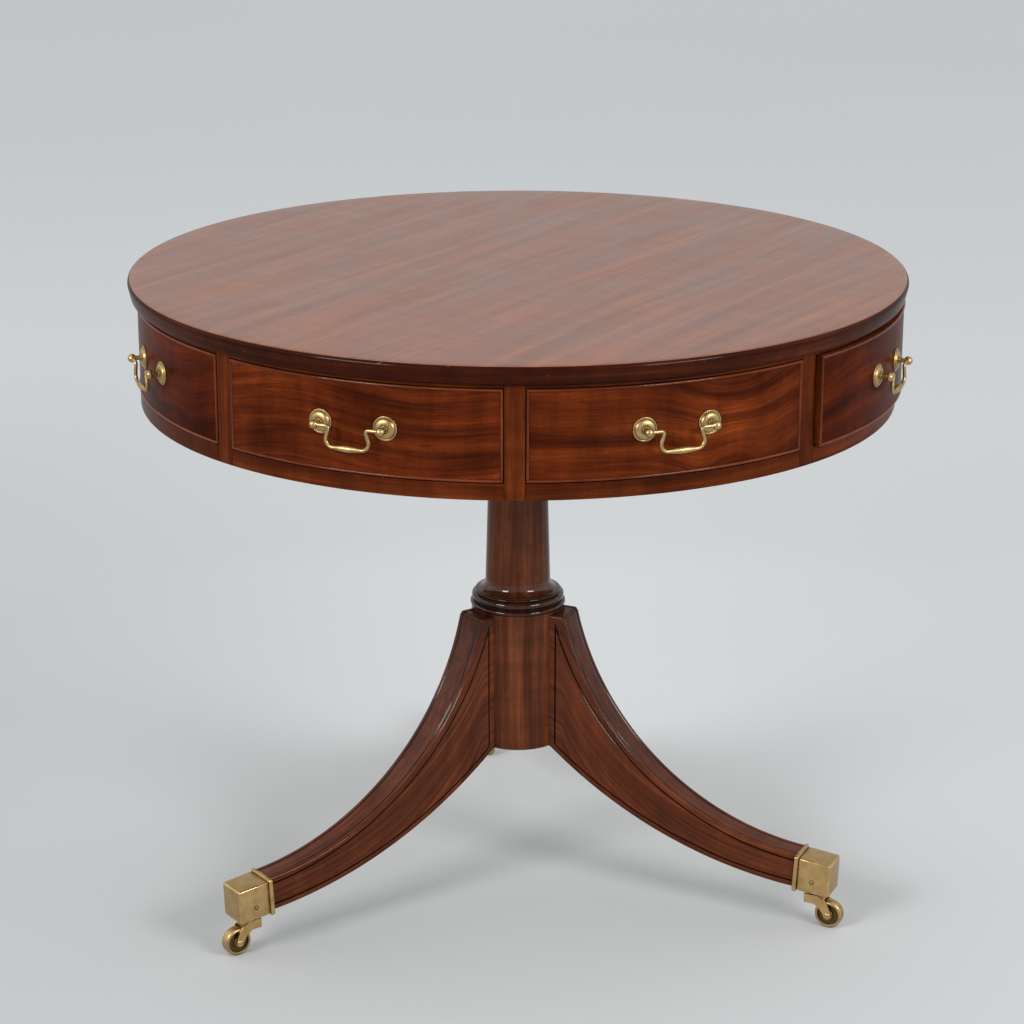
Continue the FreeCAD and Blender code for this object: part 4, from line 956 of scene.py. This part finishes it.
def build_leg(name):
    """A sabre leg with beaded upper corners and an incised border on each side."""
    rows = []
    grain = []
    dirt = []
    length = 0.0
    last = None
    for u in leg_stations():
        top = leg_surface(u)
        bottom = leg_lower(max(u, HEEL))
        section = leg_section(u, top, bottom)
        loop = section + [(-y, z, share) for y, z, share in reversed(section)]
        middle = Vector((u, (top + bottom) / 2))
        length += (middle - last).length if last else 0.0
        last = middle
        rows.append([(u, y, z) for y, z, _ in loop])
        grain.append([(length * LEG_GRAIN_SCALE, z - middle.y, y) for y, z, _ in loop])
        dirt.append([share for _, _, share in loop])
    seed = LEG_ANGLES[name] * MM
    grain = np.asarray(grain) + (seed * 5, seed, 0)
    leg = Grid().add(rows, grain, dirt, ends=True)
    leg = leg.piece(f"leg_{name}_wood", LEG_WOOD, leg_place(name), sharp=28)
    settle(leg, "pedestal", "base_mahogany", f"leg_{name}")


def leg_place(name):
    """Turns what is drawn along +X to a leg's direction."""
    return turned(math.radians(LEG_ANGLES[name] - 90))


# Toe caps

CAP_WALL = 2.1 * MM
CAP_END = LEG_REACH + CAP_WALL
CAP_HALF = LEG_FOOT_HALF + CAP_WALL
CAP_CORNER = 1.5 * MM
CAP_LEAST_CORNER = 0.7 * MM
BOSS_RADIUS = 7.5 * MM
BOSS_CORNER = 0.5 * MM
BOSS_GAP = 0.3 * MM
# Painted shade on the brass: on the boss in the shadowed gap under the cap, on the toe's end and on the cap's
# top and sides
BOSS_PAINTED_SHADE = 0.8
TOE_PAINTED_SHADE = 0.3
CAP_TOP_PAINTED_SHADE = 0.28
CAP_SIDE_PAINTED_SHADE = 0.05


def rounded_loop(half_width, low, high, corner, steps):
    """A rectangle with rounded corners, as points across and up."""
    loop = []
    for x, z, start in ((1, 1, 0), (-1, 1, 90), (-1, -1, 180), (1, -1, 270)):
        centre = (x * (half_width - corner), (high - corner) if z > 0 else (low + corner))
        loop += arc(centre, corner, start, start + 90, steps)
    return loop


def cap_profile(span):
    """Distances along a cap in millimetres, with how far it stands proud of its flat sides there."""
    lip = [(-0.4, -2.1), (0, 1.1), (0.5, 1.87), (1.1, 2.2), (4.0, 2.2), (4.7, 1.76), (5.1, 0.66)]
    quirk = [(5.4, -0.25), (6.0, -0.2)]
    flat = [(6.3, 0), (20, 0)]
    toe = [(span - 2.4 + 2.4 * y, 2.4 * (x - 1)) for x, y in arc((0, 0), 1, 0, 90, 7)]
    return lip + quirk + flat + toe


def cap_tarnish_and_shade(forward, span, steps):
    """Patina and painted shade round one row of a toe cap: dark beside the lip, painted shade on its top,
    sides and end, bright on its corners.
    """
    in_quirk = 5.2 < forward < 6.2
    on_end = forward > span - 0.01
    on_round = forward > span - 2.0
    if in_quirk:
        return [1.0] * (4 * steps)
    if on_end:
        return [TOE_PAINTED_SHADE] * (4 * steps)
    if on_round:
        return [0.0] * (4 * steps)
    top, side = CAP_TOP_PAINTED_SHADE, CAP_SIDE_PAINTED_SHADE
    shares = []
    for first, last in ((side, top), (top, side), (side, side), (side, side)):
        shares += [first] + [0.0] * (steps - 2) + [last]
    return shares


def build_cap(name):
    """A cast toe cap: leaning raised lip, a quirk beside it, flat sides, a softened toe and a boss below."""
    corner_steps = 5
    span = (CAP_END - CAP_START) / MM
    rows = []
    tarnish_and_shade = []
    for forward, raised in cap_profile(span):
        proud = raised * MM
        share = forward / span
        lean = CAP_LEAN + (TOE_LEAN - CAP_LEAN) * share
        low_u = CAP_START + forward * MM - TOE_LEAN * share
        top = LEG_FOOT_TOP + CAP_WALL - (low_u + lean - FOOT_CORNER[0]) * CAP_SLOPE + proud
        bottom = LEG_FOOT_BOTTOM - CAP_WALL - (low_u - CAP_START) * CAP_SLOPE - proud
        corner = max(CAP_CORNER + proud * 0.4, CAP_LEAST_CORNER)
        loop = rounded_loop(CAP_HALF + proud, bottom, top, corner, corner_steps)
        rows.append([(low_u + lean * (z - bottom) / (top - bottom), y, z) for y, z in loop])
        tarnish_and_shade.append(cap_tarnish_and_shade(forward, span, corner_steps))
    low = STRAP_HIGH + BOSS_GAP
    boss = [(0, low), (BOSS_RADIUS - BOSS_CORNER, low), (BOSS_RADIUS, low + BOSS_CORNER)]
    boss += [(BOSS_RADIUS, LEG_FOOT_BOTTOM)]
    ring, _ = brass_rows(boss, 40)
    # The boss is painted dark: painted shade in the gap between the cap and the strap
    dark = np.full(ring.shape[:2], BOSS_PAINTED_SHADE)
    grid = Grid().add(rows, dirt=tarnish_and_shade, ends=True).add(ring + (CASTER_REACH, 0, 0), dirt=dark)
    cap = grid.piece(f"toe_cap_{name}_brass", BRASS, leg_place(name), sharp=40)
    settle(cap, "pedestal", "aged_brass", f"toe_cap_{name}")


# Casters, drawn about the swivel axis with the wheel trailing along +X

CASTER_REACH = 377.5 * MM
CASTER_TRAIL = 18.5 * MM
WHEEL_RADIUS = 16.5 * MM
WHEEL_CENTRE = (CASTER_TRAIL, 0, WHEEL_RADIUS)
PLATE_LOW = 35 * MM
STRAP_LOW = 29 * MM
STRAP_HIGH = 39.5 * MM
STRAP_BACK = -10 * MM
THROAT = 1 * MM
THROAT_BULGE = 0.09
BROW = 6 * MM
BROW_BULGE = -0.135
CHEEK_IN = 7.0 * MM
CHEEK_OUT = 9.6 * MM
EYE_RADIUS = 4.6 * MM
FORK_ARRIS = 0.6 * MM
AXLE_RADIUS = 2.2 * MM
AXLE_HEAD = 3.4 * MM
AXLE_CROWN = 1.3 * MM
PIN_SPOT = (379 * MM, 59.4 * MM)
PIN_SINK = 0.4 * MM


def hollow(start, end, bulge, steps):
    """Points from start to end on a shallow curve that bulges to its left."""
    start = Vector(start)
    end = Vector(end)
    aside = Vector((start.y - end.y, end.x - start.x)) * bulge
    return [start.lerp(end, t) + aside * (4 * t * (1 - t)) for t in np.linspace(0, 1, steps)]


def build_fork(name, place):
    """A square-ended strap with two cheeks that curve down to a round eye."""
    eye = arc((CASTER_TRAIL, WHEEL_RADIUS), EYE_RADIUS, 180, 360, 12)
    leading = hollow((THROAT, STRAP_LOW), (CASTER_TRAIL - EYE_RADIUS, WHEEL_RADIUS), THROAT_BULGE, 10)
    trailing = hollow((CASTER_TRAIL + EYE_RADIUS, WHEEL_RADIUS), (BROW, STRAP_HIGH), BROW_BULGE, 18)
    back = [Vector((STRAP_BACK, STRAP_HIGH)), Vector((STRAP_BACK, STRAP_LOW))]
    loop = back + leading + [Vector(point) for point in eye[1:-1]] + trailing
    plate_front = min(trailing, key=lambda point: abs(point.y - PLATE_LOW))
    above = trailing[trailing.index(plate_front) :]
    hanging = len(loop) - len(above) - len(back)
    inner = [back[0], Vector((STRAP_BACK, PLATE_LOW))]
    for share in np.linspace(0.05, 0.95, hanging):
        inner.append(Vector((STRAP_BACK + (plate_front.x - STRAP_BACK) * share, PLATE_LOW)))
    inner += above
    half = [(CHEEK_IN, inner), (CHEEK_IN, loop), (CHEEK_OUT, loop)]
    layers = [(-across, outline) for across, outline in reversed(half)] + half
    rows = [[(point.x, across, point.y) for point in outline] for across, outline in layers]
    fork = Grid().add(rows, ends=True).piece(f"caster_fork_{name}_brass", BRASS, place)
    soften(fork, FORK_ARRIS, 2, 50)
    settle(fork, f"caster_{name}", "aged_brass", f"caster_fork_{name}")


def along_y(profile, segments, centre, tarnish_and_shade=None):
    """A grid of a profile of radius and distance, turned about an axis along Y."""
    rows, dirt = brass_rows(profile, segments, tarnish_and_shade)
    return Grid().add(moved(rows, axis_frame(centre, (0, 1, 0))), dirt=dirt)


def build_axle(name, place):
    """A plain pin with a domed head outside each cheek."""
    head = [(AXLE_RADIUS, CHEEK_OUT)]
    for share in (1, 0.95, 0.8, 0.6, 0.3, 0):
        head.append((AXLE_HEAD * share, CHEEK_OUT + AXLE_CROWN * math.sqrt(1 - share**2)))
    profile = [(radius, -out) for radius, out in reversed(head)] + head
    axle = along_y(profile, 24, WHEEL_CENTRE).piece(f"caster_axle_{name}_brass", BRASS, place)
    settle(axle, f"caster_{name}", "aged_brass", f"caster_axle_{name}")


def wheel_profile():
    """Half of a wheel's section, in millimetres from its axis and its middle plane."""
    boss = [(2.3, 6.5), (5.2, 6.5), (5.5, 6.2), (5.8, 3.6)]
    sunk_side = [(12.2, 3.5), (12.5, 3.8), (12.7, 6.1)]
    rim = arc((13.2, 6.0), 0.5, 150, 60, 4)
    tread = arc((13.1, 3.2), 3.3, 75, 0, 7)
    return boss + sunk_side + rim + tread


def wheel_tarnish(radius, height):
    """Dark in the sunk sides of a wheel."""
    return 1.0 if abs(height) < 4 * MM and radius < 12.6 * MM else 0.0


def build_wheel(name, place):
    """A wheel with a full rounded tread, raised rims, sunk sides and a small hub."""
    half = [(radius * MM, out * MM) for radius, out in wheel_profile()]
    profile = half + [(radius, -out) for radius, out in reversed(half)] + half[:1]
    wheel = along_y(profile, 64, WHEEL_CENTRE, wheel_tarnish)
    wheel = wheel.piece(f"caster_wheel_{name}_brass", DULL_BRASS, place)
    settle(wheel, f"wheel_{name}", "aged_brass", f"caster_wheel_{name}")


def pin_tarnish(radius, height):
    """A dark ring round the middle of a pin's head."""
    return 1.0 if radius > 1.5 * MM else 0.3


def build_pins():
    """Small pin heads that stand a little proud in each side of the toe caps."""
    rim = [(2.9, 0), (2.9, 0.42), (2.6, 0.5), (1.8, 0.5)]
    dome = [(1.6, 0.55), (1.4, 0.8), (0.8, 1.0), (0, 1.1)]
    profile = [(radius * MM, CAP_HALF - PIN_SINK + out * MM) for radius, out in rim + dome]
    spot = Matrix.Translation((PIN_SPOT[0], 0, PIN_SPOT[1]))
    for name in LEG_ANGLES:
        for side, turn in (("a", 0), ("b", math.pi)):
            place = leg_place(name) @ spot @ Matrix.Rotation(turn, 4, "Z")
            pin = along_y(profile, 20, (0, 0, 0), pin_tarnish)
            pin = pin.piece(f"toe_cap_pin_{name}_{side}", BRASS, place)
            settle(pin, "pedestal", "aged_brass", "toe_cap_pins")


def build_casters():
    """Forks, axles and wheels; the back caster is turned about, its wheel towards the pillar."""
    for name in LEG_ANGLES:
        place = leg_place(name) @ Matrix.Translation((CASTER_REACH, 0, 0))
        if name == "back":
            place = place @ Matrix.Rotation(math.pi, 4, "Z")
        build_fork(name, place)
        build_axle(name, place)
        build_wheel(name, place)
    build_pins()


def build_pedestal():
    build_pillar()
    for name in LEG_ANGLES:
        build_leg(name)
        build_cap(name)
    build_casters()


# Pieces that keep their CAD form


def dress_cad():
    by_slot = {
        "aged_brass": BRASS, "pivot_iron": IRON, "inner_oak": UPRIGHT_OAK, "base_mahogany": UPRIGHT_OAK,
    }
    lying = ["drum_base"] + [f"drawer_{name}_bottom" for name in DRAWERS]
    slots = {part["node"]: part["material_slot"] for part in frame["record"]["subparts"]}
    for node, thing in frame["nodes"].items():
        material = LYING_OAK if node in lying else by_slot.get(slots[node])
        if material is not None:
            thing.data.materials.clear()
            thing.data.materials.append(material)


# Stage, drawn with the viewer looking along +Y and then turned to the drum

VIEW_TURN = math.radians(23.05)
VIEW = Matrix.Rotation(VIEW_TURN, 3, "Z")
IMAGE_WIDTH = 1024
FOCAL_PIXELS = 2850
SENSOR_WIDTH = 36.0
CAMERA_PITCH = math.radians(17.83)
CAMERA_SPOT = (-0.0069, -3.1707, 1.4734)
WORLD_COLOUR = (0.62, 0.63, 0.64, 1)

# Name, direction, breadth in degrees and strength
SUNS = (
    ("left_sun", (-1.0, 0.1, 0.5), 60, 0.4),
    ("right_sun", (1.0, 0.1, 0.5), 60, 0.35),
    ("overhead", (0, 0.2, 1.0), 50, 0.35),
)
# Name, place, size and power
BOXES = (
    ("left_box", (-1.85, -1.85, 1.7), (1.0, 0.7), 42),
    ("right_box", (1.85, -1.85, 1.7), (1.0, 0.7), 40),
)
BOX_AIM = (0, 0, 0.45)

FLOOR_REACH = 60.0
FLOOR_GREYS = ((0.3, (0.61, 0.63, 0.635)), (0.7, (0.63, 0.65, 0.655)))
# Painted light and shade on the floor by its distance behind the table: darker in front of it, lighter behind
# it
FLOOR_GRADES = ((-5.0, 1.0), (-1.0, 0.78), (-0.04, 0.88), (1.08, 1.07), (2.6, 1.05), (7.0, 1.02))
# Painted shade from left to right, darker on the left, which fades out behind the table and far in front of
# it
SIDE_GRADES = ((-0.9, 0.79), (0.9, 0.96))
SIDE_FADE_BEHIND = (0.3, 2.5)
SIDE_FADE_BEFORE = (-4.0, -1.0)
# A painted pool of light under the table that lifts its shadow, by the distance from its middle
LIGHT_POOL_MIDDLE = (0.05, 0.35, 0)
LIGHT_POOL_GRADES = ((0.2, 1.15), (1.0, 1.0))
# Between these distances the floor's paint fades into a glow in the world's colour
HORIZON = (9.0, 30.0)


def hang_lamp(scene, data, spot, aim):
    """A lamp at a spot, shining at an aim."""
    lamp = bpy.data.objects.new(data.name, data)
    lamp.location = spot
    lamp.rotation_euler = (aim - spot).to_track_quat("-Z", "Y").to_euler()
    scene.collection.objects.link(lamp)


def graded(shader, distance, grades):
    """A grey that changes with a distance."""
    first = grades[0][0]
    last = grades[-1][0]
    stops = [((spot - first) / (last - first), (level,) * 3) for spot, level in grades]
    return shader.ramp(shader.span(distance, first, last), *stops)


def floor_paint():
    """Pale grey paint with painted light and shade: darker in front and on the left, lighter under and behind
    the table, fading far off into a glow in the world's colour.
    """
    shader = Shader("floor")
    place = shader.place()
    right = shader.vector("DOT_PRODUCT", place, VIEW @ Vector((1, 0, 0)))["Value"]
    back = shader.vector("DOT_PRODUCT", place, VIEW @ Vector((0, 1, 0)))["Value"]
    tint = shader.ramp(shader.noise(shader.stretch(place, 0.35, 0.35), detail=2), *FLOOR_GREYS)
    tint = shader.mix(1.0, tint, graded(shader, back, FLOOR_GRADES), "MULTIPLY")
    behind = shader.span(back, *SIDE_FADE_BEHIND, 1.0, 0.0)
    near = shader.math("MULTIPLY", behind, shader.span(back, *SIDE_FADE_BEFORE))
    tint = shader.mix(near, tint, graded(shader, right, SIDE_GRADES), "MULTIPLY")
    around = shader.vector("DISTANCE", place, VIEW @ Vector(LIGHT_POOL_MIDDLE))["Value"]
    tint = shader.mix(1.0, tint, graded(shader, around, LIGHT_POOL_GRADES), "MULTIPLY")
    far = shader.span(shader.vector("LENGTH", place)["Value"], *HORIZON)
    tint = shader.mix(far, tint, (0.0, 0.0, 0.0))
    sheen = shader.span(far, 0, 1, 0.1, 0)
    shader.finish(Emission_Color=WORLD_COLOUR, Emission_Strength=far)
    return shader.finish(Base_Color=tint, Roughness=0.9, Specular_IOR_Level=sheen)


def build_floor(scene):
    mesh = bpy.data.meshes.new("floor")
    corners = [(x * FLOOR_REACH, y * FLOOR_REACH, 0) for x, y in ((-1, -1), (1, -1), (1, 1), (-1, 1))]
    mesh.from_pydata(corners, [], [(0, 1, 2, 3)])
    mesh.materials.append(floor_paint())
    floor = bpy.data.objects.new("floor", mesh)
    scene.collection.objects.link(floor)


def build_lights(scene):
    world = bpy.data.worlds.new("studio")
    world.use_nodes = True
    world.node_tree.nodes["Background"].inputs["Color"].default_value = WORLD_COLOUR
    scene.world = world
    for name, spot, breadth, strength in SUNS:
        data = bpy.data.lights.new(name, "SUN")
        data.energy = strength
        data.angle = math.radians(breadth)
        hang_lamp(scene, data, VIEW @ Vector(spot), Vector())
    for name, spot, size, power in BOXES:
        data = bpy.data.lights.new(name, "AREA")
        data.shape = "RECTANGLE"
        data.size, data.size_y = size
        data.energy = power
        hang_lamp(scene, data, VIEW @ Vector(spot), Vector(BOX_AIM))


def build_camera(scene):
    data = bpy.data.cameras.new("camera")
    data.sensor_width = SENSOR_WIDTH
    data.lens = FOCAL_PIXELS / IMAGE_WIDTH * SENSOR_WIDTH
    camera = bpy.data.objects.new("camera", data)
    camera.location = VIEW @ Vector(CAMERA_SPOT)
    forward = VIEW @ Vector((0, math.cos(CAMERA_PITCH), -math.sin(CAMERA_PITCH)))
    camera.rotation_euler = forward.to_track_quat("-Z", "Y").to_euler()
    scene.collection.objects.link(camera)
    scene.camera = camera


def build_stage():
    """A wide pale floor, three broad suns, two soft boxes and the camera of the photograph."""
    scene = bpy.context.scene
    scene.view_settings.view_transform = "Standard"
    build_floor(scene)
    build_lights(scene)
    build_camera(scene)


build_drum()
build_pedestal()
dress_cad()
build_stage()
